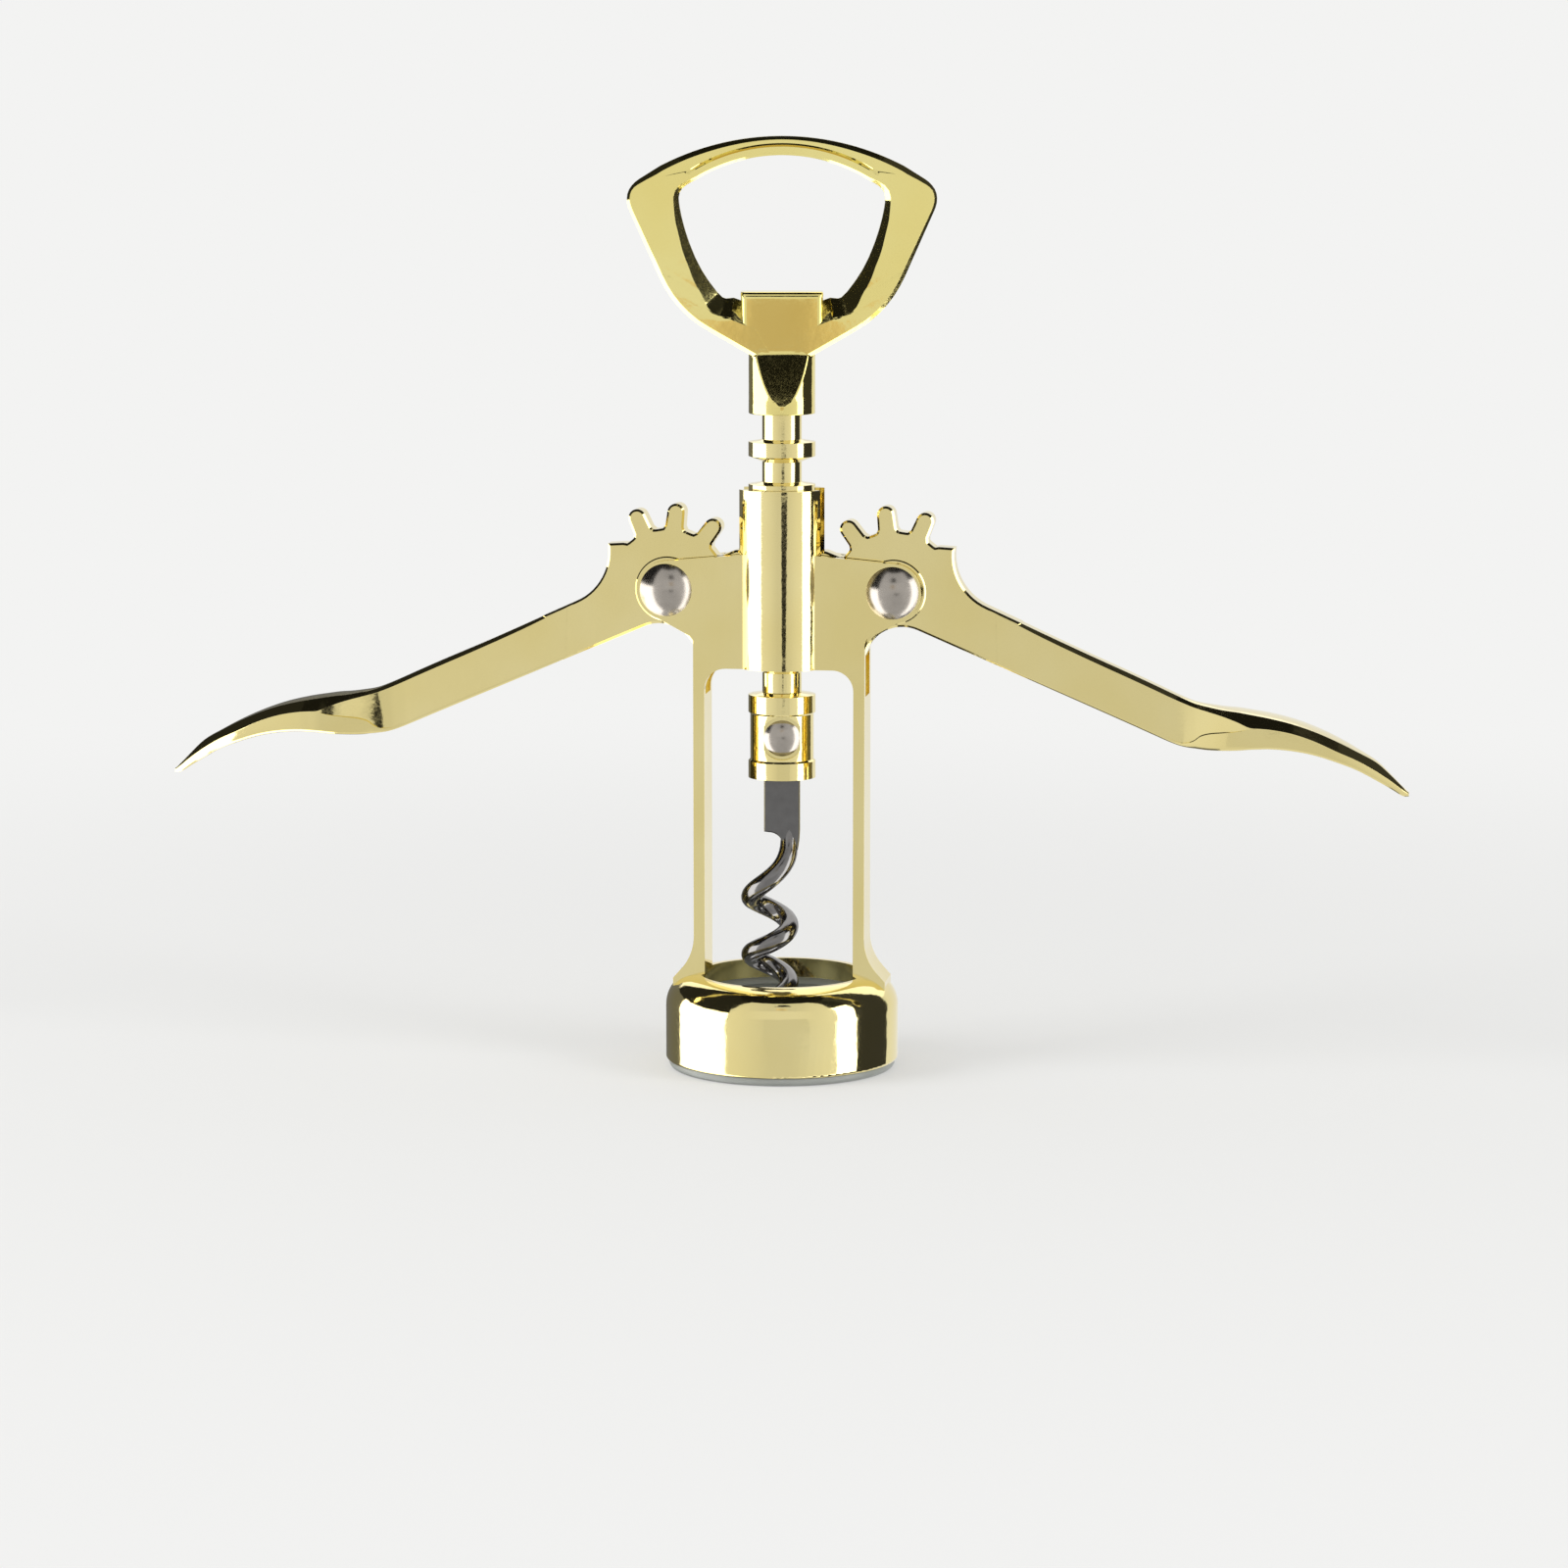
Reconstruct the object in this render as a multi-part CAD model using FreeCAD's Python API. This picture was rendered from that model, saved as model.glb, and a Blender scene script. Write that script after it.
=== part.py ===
"""Wing corkscrew: a bell that sits on the bottle, a slotted hub, two geared levers and a ringed spindle.

Millimetres, +Z up along the spindle, +X along the right lever, -Y the front.
The origin is on the spindle's axis, in the underside of the plastic insert that stands on the bottle.
The levers are drawn part way down, as they stand once a cork has begun to rise.
"""
import FreeCAD, Part
import math
import os

from FreeCAD import Placement, Rotation, Vector

# --- bell and its insert ------------------------------------------------------------------------
BOTTLE_LIP_RADIUS = 14.75      # standard 29.5 mm wine finish
LIP_CLEARANCE = 0.15
INSERT_WALL = 1.1
INSERT_FIT = 0.05              # glue gap between the insert and the bell
FLANGE_SETBACK = 0.5           # flange short of the bell's outside
FLANGE_THICKNESS = 1.35
FLANGE_EDGE_RADIUS = 0.9
SEAT_DEPTH = 10.8              # how far the lip goes in before it meets the ledge
LEDGE_THICKNESS = 1.2
LEDGE_WIDTH = 1.0
BELL_WALL = 2.7
BELL_ROOF = 3.1
BELL_SHOULDER_RADIUS = 5.0
BELL_TOP_LAND = 0.55           # flat ring between the shoulder and the opening
BELL_EDGE_RADIUS = 0.5

# --- frame: legs, cheeks and hub ----------------------------------------------------------------
FRAME_DEPTH = 8.0              # front face of one cheek to back face of the other
SLOT_WIDTH = 5.2               # between the cheeks, where the levers turn
LEG_INNER = 12.0               # from the axis to a leg's inner face
LEG_THICKNESS = 1.8
LEG_FOOT_RADIUS = 8.0
LEG_FOOT_SWEEP_DEG = 42.0      # how far the flared foot turns outwards
LEG_FOOT_RUN = 2.0             # straight run after the sweep, down onto the bell's shoulder
LEG_FOOT_HEIGHT = 6.3          # start of the flare above the bell's top
WINDOW_TOP = 64.9
WINDOW_CORNER_RADIUS = 3.4
SLOT_BOTTOM_BELOW_WINDOW = 4.3
CHEEK_SHOULDER_ABOVE_WINDOW = 4.9
CHEEK_SHOULDER_RADIUS = 1.0
CHEEK_TOP_AT_HUB = 5.8         # above the pivots
CHEEK_END_RADIUS = 4.6
HUB_WALL = 1.35
HUB_ABOVE_PIVOT = 16.1
HUB_CLEARANCE = 0.3            # around the spindle's rings

# --- levers -------------------------------------------------------------------------------------
PIVOT_OFFSET = 18.2            # from the axis to each pivot
PIVOT_ABOVE_WINDOW = 12.5
TEETH_PER_TURN = 12
TOOTH_COUNT = 6
FIRST_TOOTH_DEG = 90.0         # from the arm's direction to the first tooth
GEAR_TIP_RADIUS = 13.7
GEAR_ROOT_RADIUS = 9.65
TOOTH_WIDTH = 2.8
UPPER_NUB_RADIUS = 12.0
LOWER_NUB_RADIUS = 11.4
NUB_BACK_DEG = 9.0             # how far a nub's steep side leans back to the root
LEVER_THICKNESS = 4.0
BOSS_RADIUS = 5.2
BOSS_CLEARANCE = 0.2           # between a boss and its cheek
ARM_DROP_DEG = 23.7            # arm below the horizontal as drawn
ARM_ROOT_HALF_WIDTH = 4.1
ARM_END_HALF_WIDTH = 3.6
ARM_LENGTH = 49.0              # pivot to the bend before the thumb rest
UPPER_SWEEP_END = 14.5         # where the hollow behind the gear meets the arm's top edge
LOWER_SWEEP_END = 6.0
PADDLE_LENGTH = 39.3           # bend to tip
PADDLE_WIDTH = 12.0
PADDLE_RISE = 6.2              # middle of the thumb rest above the arm's centre line
PADDLE_THICKNESS = 5.1
PADDLE_ROOT_OVERLAP = 1.5
PADDLE_SECTION_POINTS = 20

# --- pivot rivets -------------------------------------------------------------------------------
RIVET_SHANK_RADIUS = 2.0
RIVET_HEAD_RADIUS = 4.2
RIVET_HEAD_HEIGHT = 1.9
PIVOT_RUNNING_CLEARANCE = 0.05

# --- spindle ------------------------------------------------------------------------------------
RING_PITCH = 6.75
RING_RADIUS = 5.35
RING_BAND = 2.3
RING_TOP_CHAMFER = 0.35
RING_UNDER_CHAMFER = 0.9
NECK_RADIUS = 3.15
RINGS_ABOVE_MESH = 3           # rings above the one whose gap holds the meshed tooth
RINGS_BELOW_MESH = 2
JOURNAL_RADIUS = 2.2
UPPER_JOURNAL_LENGTH = 9.0
LOWER_JOURNAL_LENGTH = 3.0
TURNING_CLEARANCE = 0.05       # radial and axial, where the screw turns on the spindle

# --- worm holder and worm -----------------------------------------------------------------------
HOLDER_RADIUS = 5.4
HOLDER_WAIST_RADIUS = 5.1
HOLDER_LENGTH = 13.4
HOLDER_TOP_BAND = 2.8
HOLDER_BOTTOM_BAND = 2.7
HOLDER_RIVET_DROP = 6.65       # holder's top edge to the rivet
HOLDER_COUNTERBORE_RADIUS = 3.45
HOLDER_COUNTERBORE_DEPTH = 0.9
WORM_RIVET_HEAD_RADIUS = 2.9
WORM_RIVET_SHANK_RADIUS = 1.2
WORM_RIVET_HEAD_HEIGHT = 1.1
TANG_WIDTH = 5.8
TANG_THICKNESS = 2.4
TANG_SHOWN = 8.2               # below the holder
TANG_GRIP = 9.0                # inside the holder
TANG_FIT = 0.05
WORM_WIRE_RADIUS = 1.55
WORM_RADIUS = 3.1              # axis of the helix to the middle of the wire
WORM_PITCH = 9.4
WORM_OFFSET = -1.95            # axis of the helix from the spindle's axis, along X
WORM_SHANK = 1.6               # straight wire between the tang and the lead-in
WORM_LEAD_IN = 9.8             # height of the drawn-out first half turn
WORM_LEAD_IN_EASE = 0.625      # how late that half turn sets in: 1 is an even slope
WORM_END_HEIGHT = 4.0          # end of the full wire above the insert's underside
WORM_POINT_LENGTH = 4.0
WORM_TIP_RADIUS = 0.2
WORM_POINTS_PER_TURN = 12

# --- handle -------------------------------------------------------------------------------------
SOCKET_RADIUS = 5.3
HANDLE_THICKNESS = 5.2
HANDLE_TOP = 43.8              # above the socket's lower end
HANDLE_HALF_WIDTH = 25.4       # before its corners are rounded
HANDLE_CORNER_HEIGHT = 35.2
HANDLE_SHOULDER_HEIGHT = 16.3
HANDLE_SHOULDER_HALF_WIDTH = 17.0
HANDLE_NECK_HEIGHT = 9.6
HANDLE_CORNER_RADIUS = 4.0
HANDLE_SHOULDER_RADIUS = 16.0
OPENING_HALF_WIDTH = 16.4
OPENING_WIDEST_HEIGHT = 33.2
OPENING_SIDE_OUT = 0.7         # how far the opening's sides bow from straight, outwards and down
OPENING_SIDE_DOWN = 1.2
OPENING_CORNER_IN = 1.3        # run and rise of the round between a side and the top
OPENING_CORNER_RISE = 2.8
OPENING_CORNER_BULGE = 0.45
HANDLE_TOP_BAND = 3.0
HANDLE_EDGE_BEVEL = 0.7
PAD_TOP_HEIGHT = 19.4
PAD_HALF_WIDTH = 7.2
PAD_THICKNESS = 6.4
NOTCH_DEPTH = 1.2
NOTCH_WIDTH = 2.2
NOTCH_WALL_RUN = 0.65          # the tongue's edge leans outwards as it goes down
NOTCH_WALL_DROP = 1.0
SOCKET_TOP_BELOW_PAD = 4.8
FACET_START = 1.5              # above the socket's lower end
SOCKET_BORE_CLEARANCE_DEPTH = 0.3
SCREW_TURN_DEG = 8.0           # how far the handle and worm stand turned about the axis

# --- worked out from the sizes above ------------------------------------------------------------
LIP_BORE_RADIUS = BOTTLE_LIP_RADIUS + LIP_CLEARANCE
SLEEVE_RADIUS = LIP_BORE_RADIUS + INSERT_WALL
BELL_BORE_RADIUS = SLEEVE_RADIUS + INSERT_FIT
BELL_RADIUS = BELL_BORE_RADIUS + BELL_WALL
BELL_TOP_OPENING_RADIUS = BELL_RADIUS - BELL_SHOULDER_RADIUS - BELL_TOP_LAND
SLEEVE_TOP = SEAT_DEPTH + LEDGE_THICKNESS
ROOF_UNDERSIDE = SLEEVE_TOP + INSERT_FIT
BELL_TOP = ROOF_UNDERSIDE + BELL_ROOF
LEG_OUTER = LEG_INNER + LEG_THICKNESS
HUB_BORE_RADIUS = RING_RADIUS + HUB_CLEARANCE
HUB_RADIUS = HUB_BORE_RADIUS + HUB_WALL
PIVOT_HEIGHT = WINDOW_TOP + PIVOT_ABOVE_WINDOW
HUB_TOP = PIVOT_HEIGHT + HUB_ABOVE_PIVOT
TOOTH_STEP_DEG = 360.0 / TEETH_PER_TURN
PITCH_RADIUS = RING_PITCH * TEETH_PER_TURN / (2 * math.pi)
BARE_NECK = RING_PITCH - RING_BAND - RING_TOP_CHAMFER - RING_UNDER_CHAMFER
MESHED_TOOTH = 4               # counted from the arm's top edge round towards its lower edge
MESHED_TOOTH_DEG = FIRST_TOOTH_DEG + MESHED_TOOTH * TOOTH_STEP_DEG - ARM_DROP_DEG - 180.0
MESH_HEIGHT = PIVOT_HEIGHT - PITCH_RADIUS * math.radians(MESHED_TOOTH_DEG)
MESHED_RING_TOP = MESH_HEIGHT + BARE_NECK / 2 + RING_UNDER_CHAMFER + RING_BAND
HOLDER_TOP = MESHED_RING_TOP - (RINGS_BELOW_MESH + 1) * RING_PITCH
HOLDER_BOTTOM = HOLDER_TOP - HOLDER_LENGTH
SOCKET_BOTTOM = MESHED_RING_TOP + (RINGS_ABOVE_MESH + 1) * RING_PITCH - RING_BAND
TANG_BOTTOM = HOLDER_BOTTOM - TANG_SHOWN
WORM_LEAD_TOP = TANG_BOTTOM - WORM_SHANK
WORM_TURNS = (WORM_LEAD_TOP - WORM_LEAD_IN - WORM_END_HEIGHT) / WORM_PITCH
UP = Vector(0, 0, 1)
ALONG_Y = Vector(0, 1, 0)
ORIGIN = Vector(0, 0, 0)
CUT_OVERRUN = 1.0              # how far a cut reaches past the metal
SAME_PLACE = 1e-6


def at(x, z, y=0.0):
    """A point given in the front view, with its depth last."""
    return Vector(x, y, z)


def rounded_outline(corners):
    """A closed wire in the front view through (x, z, radius) corners, each rounded by its radius."""
    points = [at(x, z) for x, z, _ in corners]
    edges = []
    starts = []
    ends = []
    for i, (_, _, radius) in enumerate(corners):
        here = points[i]
        back = (points[i - 1] - here).normalize()
        ahead = (points[(i + 1) % len(points)] - here).normalize()
        if radius <= 0:
            starts.append(here)
            ends.append(here)
            edges.append(None)
            continue
        half = back.getAngle(ahead) / 2
        run = radius / math.tan(half)
        first = here + back * run
        last = here + ahead * run
        middle_way = (back + ahead).normalize()
        middle = here + middle_way * (radius / math.sin(half) - radius)
        starts.append(first)
        ends.append(last)
        edges.append(Part.Arc(first, middle, last).toShape())
    wire = []
    for i, arc in enumerate(edges):
        if arc is not None:
            wire.append(arc)
        following = starts[(i + 1) % len(starts)]
        if ends[i].distanceToPoint(following) > SAME_PLACE:
            wire.append(Part.LineSegment(ends[i], following).toShape())
    return Part.Wire(wire)


def slab(wire, thickness):
    """A front-view outline made solid, its thickness centred on the lever plane."""
    face = Part.Face(wire)
    face.translate(Vector(0, -thickness / 2, 0))
    return face.extrude(ALONG_Y * thickness)


def turned(corners):
    """A solid of revolution about the spindle's axis from (radius, z, corner radius) corners."""
    return Part.Face(rounded_outline(corners)).revolve(ORIGIN, UP, 360)


def rod(radius, low, high, x=0.0):
    """An upright cylinder between two heights."""
    return Part.makeCylinder(radius, high - low, at(x, low), UP)


def cross_pin(radius, front, back, x, z):
    """A cylinder along Y between two depths."""
    return Part.makeCylinder(radius, back - front, Vector(x, front, z), ALONG_Y)


def block(x0, x1, y0, y1, z0, z1):
    """A box between opposite corners."""
    return Part.makeBox(x1 - x0, y1 - y0, z1 - z0, Vector(x0, y0, z0))


def mirrored(shape):
    """The same shape on the other side of the spindle."""
    return shape.mirror(ORIGIN, Vector(1, 0, 0))


def tangent_from(point, centre, radius, side):
    """Where a line from a point touches a circle; side is 1 or -1."""
    away = point - centre
    reach = away.Length
    turn = math.acos(radius / reach) * side
    bearing = math.atan2(away.z, away.x) + turn
    return at(centre.x + radius * math.cos(bearing), centre.z + radius * math.sin(bearing))


def bell():
    """The cup that goes over the bottle's lip, open at the top so that the cork can rise through it."""
    return turned([
        (BELL_BORE_RADIUS, FLANGE_THICKNESS, 0),
        (BELL_RADIUS, FLANGE_THICKNESS, BELL_EDGE_RADIUS),
        (BELL_RADIUS, BELL_TOP, BELL_SHOULDER_RADIUS),
        (BELL_TOP_OPENING_RADIUS, BELL_TOP, 0),
        (BELL_TOP_OPENING_RADIUS, ROOF_UNDERSIDE, 0),
        (BELL_BORE_RADIUS, ROOF_UNDERSIDE, 0),
    ])


def leg_and_cheeks():
    """One side of the frame in the front view: a leg, its flared foot and the cheeks at its top."""
    centre = at(PIVOT_OFFSET, PIVOT_HEIGHT)
    hub_corner = at(HUB_BORE_RADIUS, PIVOT_HEIGHT + CHEEK_TOP_AT_HUB)
    shoulder_z = WINDOW_TOP + CHEEK_SHOULDER_ABOVE_WINDOW
    shoulder = at(LEG_OUTER, shoulder_z)
    over = tangent_from(hub_corner, centre, CHEEK_END_RADIUS, -1)
    under = tangent_from(shoulder, centre, CHEEK_END_RADIUS, 1)
    end = at(PIVOT_OFFSET + CHEEK_END_RADIUS, PIVOT_HEIGHT)
    flare_z = BELL_TOP + LEG_FOOT_HEIGHT
    sweep = math.radians(LEG_FOOT_SWEEP_DEG)
    foot_x = LEG_OUTER + LEG_FOOT_RADIUS * (1 - math.cos(sweep))
    foot_z = flare_z - LEG_FOOT_RADIUS * math.sin(sweep)
    toe_x = foot_x + LEG_FOOT_RUN * math.sin(sweep)
    toe_z = foot_z - LEG_FOOT_RUN * math.cos(sweep)
    half_x = LEG_OUTER + LEG_FOOT_RADIUS * (1 - math.cos(sweep / 2))
    half_z = flare_z - LEG_FOOT_RADIUS * math.sin(sweep / 2)
    corner = WINDOW_CORNER_RADIUS
    window_middle = corner * (1 - math.sqrt(0.5))
    edges = [
        Part.LineSegment(at(0, hub_corner.z), hub_corner),
        Part.LineSegment(hub_corner, over),
        Part.Arc(over, end, under),
        Part.LineSegment(under, shoulder),
        Part.LineSegment(shoulder, at(LEG_OUTER, flare_z)),
        Part.Arc(at(LEG_OUTER, flare_z), at(half_x, half_z), at(foot_x, foot_z)),
        Part.LineSegment(at(foot_x, foot_z), at(toe_x, toe_z)),
        Part.LineSegment(at(toe_x, toe_z), at(toe_x, ROOF_UNDERSIDE)),
        Part.LineSegment(at(toe_x, ROOF_UNDERSIDE), at(LEG_INNER, ROOF_UNDERSIDE)),
        Part.LineSegment(at(LEG_INNER, ROOF_UNDERSIDE), at(LEG_INNER, WINDOW_TOP - corner)),
        Part.Arc(
            at(LEG_INNER, WINDOW_TOP - corner),
            at(LEG_INNER - window_middle, WINDOW_TOP - window_middle),
            at(LEG_INNER - corner, WINDOW_TOP),
        ),
        Part.LineSegment(at(LEG_INNER - corner, WINDOW_TOP), at(0, WINDOW_TOP)),
        Part.LineSegment(at(0, WINDOW_TOP), at(0, hub_corner.z)),
    ]
    side = slab(Part.Wire([edge.toShape() for edge in edges]), FRAME_DEPTH)
    shoulder_edges = [
        edge for edge in side.Edges
        if len(edge.Vertexes) == 2
        and all(math.hypot(v.X - LEG_OUTER, v.Z - shoulder_z) < SAME_PLACE for v in edge.Vertexes)
    ]
    return side.makeFillet(CHEEK_SHOULDER_RADIUS, shoulder_edges)


def frame():
    """The one-piece casting: bell, two legs, four cheeks and the hub that guides the spindle."""
    side = leg_and_cheeks()
    hub = rod(HUB_RADIUS, WINDOW_TOP, HUB_TOP)
    body = bell().fuse([side, mirrored(side), hub])
    slot_half = SLOT_WIDTH / 2
    reach = PIVOT_OFFSET + GEAR_TIP_RADIUS
    slot_bottom = WINDOW_TOP - SLOT_BOTTOM_BELOW_WINDOW
    slot = block(-reach, reach, -slot_half, slot_half, slot_bottom, HUB_TOP + CUT_OVERRUN)
    bore = rod(HUB_BORE_RADIUS, WINDOW_TOP - CUT_OVERRUN, HUB_TOP + CUT_OVERRUN)
    opening = rod(BELL_TOP_OPENING_RADIUS, ROOF_UNDERSIDE, BELL_TOP)
    cuts = [slot, bore, opening]
    for x in (-PIVOT_OFFSET, PIVOT_OFFSET):
        cuts.append(cross_pin(RIVET_SHANK_RADIUS, -FRAME_DEPTH, FRAME_DEPTH, x, PIVOT_HEIGHT))
    return body.cut(cuts).removeSplitter()


def bell_insert():
    """The plastic lining: a flange under the bell, a sleeve round the lip and a ledge over it."""
    flange_radius = BELL_RADIUS - FLANGE_SETBACK
    flange_top = FLANGE_THICKNESS - INSERT_FIT
    return turned([
        (LIP_BORE_RADIUS, 0, 0),
        (flange_radius, 0, FLANGE_EDGE_RADIUS),
        (flange_radius, flange_top, 0),
        (SLEEVE_RADIUS, flange_top, 0),
        (SLEEVE_RADIUS, SLEEVE_TOP, 0),
        (LIP_BORE_RADIUS - LEDGE_WIDTH, SLEEVE_TOP, 0),
        (LIP_BORE_RADIUS - LEDGE_WIDTH, SEAT_DEPTH, 0),
        (LIP_BORE_RADIUS, SEAT_DEPTH, 0),
    ])


def dome(radius, height, base, outward):
    """A domed head that stands on a plane y = base and bulges towards outward, 1 or -1."""
    ball_radius = (radius * radius + height * height) / (2 * height)
    centre = Vector(0, base + outward * (height - ball_radius), 0)
    ball = Part.makeSphere(ball_radius, centre)
    near = min(base, base + outward * height)
    return ball.common(Part.makeCylinder(radius, height, Vector(0, near, 0), ALONG_Y))


def pivot_rivet(x):
    """One rivet through both cheeks and its lever, domed at both ends."""
    half = FRAME_DEPTH / 2
    shank = cross_pin(RIVET_SHANK_RADIUS, -half, half, 0, 0)
    front = dome(RIVET_HEAD_RADIUS, RIVET_HEAD_HEIGHT, -half, -1)
    back = dome(RIVET_HEAD_RADIUS, RIVET_HEAD_HEIGHT, half, 1)
    rivet = shank.fuse([front, back]).removeSplitter()
    rivet.translate(at(x, PIVOT_HEIGHT))
    return rivet


def pivot_rivets():
    """Both rivets, one for each lever."""
    return Part.makeCompound([pivot_rivet(-PIVOT_OFFSET), pivot_rivet(PIVOT_OFFSET)])


def spindle():
    """The ringed rack: a neck with evenly pitched rings and a journal at each end."""
    gap = TURNING_CLEARANCE
    neck_top = SOCKET_BOTTOM - gap
    neck_bottom = HOLDER_TOP + RING_TOP_CHAMFER + gap
    parts = [
        rod(NECK_RADIUS, neck_bottom, neck_top),
        rod(JOURNAL_RADIUS, neck_top, neck_top + UPPER_JOURNAL_LENGTH),
        rod(JOURNAL_RADIUS, neck_bottom - LOWER_JOURNAL_LENGTH, neck_bottom),
    ]
    for step in range(-RINGS_BELOW_MESH, RINGS_ABOVE_MESH + 1):
        top = MESHED_RING_TOP + step * RING_PITCH
        parts.append(turned([
            (0, top + RING_TOP_CHAMFER, 0),
            (NECK_RADIUS, top + RING_TOP_CHAMFER, 0),
            (RING_RADIUS, top, 0),
            (RING_RADIUS, top - RING_BAND, 0),
            (NECK_RADIUS, top - RING_BAND - RING_UNDER_CHAMFER, 0),
            (0, top - RING_BAND - RING_UNDER_CHAMFER, 0),
        ]))
    return parts[0].fuse(parts[1:]).removeSplitter()


def place_screw(shape):
    """Turns a piece of the screw to where it stands about the axis."""
    shape.Placement = Placement(ORIGIN, Rotation(UP, SCREW_TURN_DEG)).multiply(shape.Placement)
    return shape


def worm_holder():
    """The collar under the spindle that grips the worm's tang with a cross rivet."""
    waist_top = HOLDER_TOP - HOLDER_TOP_BAND
    waist_bottom = HOLDER_BOTTOM + HOLDER_BOTTOM_BAND
    ease = HOLDER_RADIUS - HOLDER_WAIST_RADIUS
    body = turned([
        (0, HOLDER_TOP + RING_TOP_CHAMFER, 0),
        (NECK_RADIUS, HOLDER_TOP + RING_TOP_CHAMFER, 0),
        (HOLDER_RADIUS, HOLDER_TOP, 0),
        (HOLDER_RADIUS, waist_top, 0),
        (HOLDER_WAIST_RADIUS, waist_top - ease, 0),
        (HOLDER_WAIST_RADIUS, waist_bottom + ease, 0),
        (HOLDER_RADIUS, waist_bottom, 0),
        (HOLDER_RADIUS, HOLDER_BOTTOM, 0),
        (0, HOLDER_BOTTOM, 0),
    ])
    socket_depth = LOWER_JOURNAL_LENGTH + TURNING_CLEARANCE
    socket = rod(
        JOURNAL_RADIUS + TURNING_CLEARANCE,
        HOLDER_TOP - socket_depth,
        HOLDER_TOP + RING_TOP_CHAMFER + CUT_OVERRUN,
    )
    half_width = TANG_WIDTH / 2 + TANG_FIT
    half_depth = TANG_THICKNESS / 2 + TANG_FIT
    slot_top = HOLDER_BOTTOM + TANG_GRIP + TANG_FIT
    slot_bottom = HOLDER_BOTTOM - CUT_OVERRUN
    slot = block(-half_width, half_width, -half_depth, half_depth, slot_bottom, slot_top)
    rivet_z = HOLDER_TOP - HOLDER_RIVET_DROP
    reach = HOLDER_RADIUS + CUT_OVERRUN
    floor = HOLDER_WAIST_RADIUS - HOLDER_COUNTERBORE_DEPTH
    cuts = [
        socket,
        slot,
        cross_pin(WORM_RIVET_SHANK_RADIUS, -reach, reach, 0, rivet_z),
        cross_pin(HOLDER_COUNTERBORE_RADIUS, -reach, -floor, 0, rivet_z),
        cross_pin(HOLDER_COUNTERBORE_RADIUS, floor, reach, 0, rivet_z),
    ]
    return place_screw(body.cut(cuts).removeSplitter())


def worm_rivet():
    """The rivet across the holder, its two domed heads sunk in the counterbores."""
    floor = HOLDER_WAIST_RADIUS - HOLDER_COUNTERBORE_DEPTH
    shank = cross_pin(WORM_RIVET_SHANK_RADIUS, -floor, floor, 0, 0)
    front = dome(WORM_RIVET_HEAD_RADIUS, WORM_RIVET_HEAD_HEIGHT, -floor, -1)
    back = dome(WORM_RIVET_HEAD_RADIUS, WORM_RIVET_HEAD_HEIGHT, floor, 1)
    rivet = shank.fuse([front, back]).removeSplitter()
    rivet.translate(at(0, HOLDER_TOP - HOLDER_RIVET_DROP))
    return place_screw(rivet)


def worm_centre_line():
    """Points down the middle of the wire: straight shank, drawn-out half turn, even helix."""
    shank_x = WORM_OFFSET + WORM_RADIUS
    points = [at(shank_x, TANG_BOTTOM + WORM_WIRE_RADIUS)]
    steps = round((WORM_TURNS + 0.5) * WORM_POINTS_PER_TURN)
    for step in range(steps + 1):
        turns = (WORM_TURNS + 0.5) * step / steps
        if turns < 0.5:
            drop = WORM_LEAD_IN * (2 * turns) ** WORM_LEAD_IN_EASE
        else:
            drop = WORM_LEAD_IN + WORM_PITCH * (turns - 0.5)
        angle = 2 * math.pi * turns
        x = WORM_OFFSET + WORM_RADIUS * math.cos(angle)
        points.append(at(x, WORM_LEAD_TOP - drop, -WORM_RADIUS * math.sin(angle)))
    return points


def worm():
    """The flattened tang and the wire that runs out of it into a right-handed helix with a point."""
    half = TANG_WIDTH / 2
    tang = block(
        -half, half,
        -TANG_THICKNESS / 2, TANG_THICKNESS / 2,
        TANG_BOTTOM, HOLDER_BOTTOM + TANG_GRIP,
    )
    rivet_z = HOLDER_TOP - HOLDER_RIVET_DROP
    eye = cross_pin(WORM_RIVET_SHANK_RADIUS, -half, half, 0, rivet_z)
    path = Part.BSplineCurve()
    path.interpolate(worm_centre_line())
    start = path.value(path.FirstParameter)
    along = path.tangent(path.FirstParameter)[0]
    section = Part.Wire(Part.Circle(start, along, WORM_WIRE_RADIUS).toShape())
    wire = Part.Wire(path.toShape()).makePipeShell([section], True, True)
    end = path.value(path.LastParameter)
    ahead = path.tangent(path.LastParameter)[0]
    point = Part.makeCone(WORM_WIRE_RADIUS, WORM_TIP_RADIUS, WORM_POINT_LENGTH, end, ahead)
    body = tang.fuse([wire, point]).cut(eye).removeSplitter()
    return place_screw(body)


def handle_outline():
    """The outer edge of the ring, sharp-cornered, from the socket's neck round over the top."""
    z0 = SOCKET_BOTTOM
    neck = at(SOCKET_RADIUS, z0 + HANDLE_NECK_HEIGHT)
    shoulder = at(HANDLE_SHOULDER_HALF_WIDTH, z0 + HANDLE_SHOULDER_HEIGHT)
    corner = at(HANDLE_HALF_WIDTH, z0 + HANDLE_CORNER_HEIGHT)
    top = at(0, z0 + HANDLE_TOP)
    return [
        (neck, None, shoulder),
        (shoulder, None, corner),
        (corner, top, at(-corner.x, corner.z)),
    ]


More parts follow.
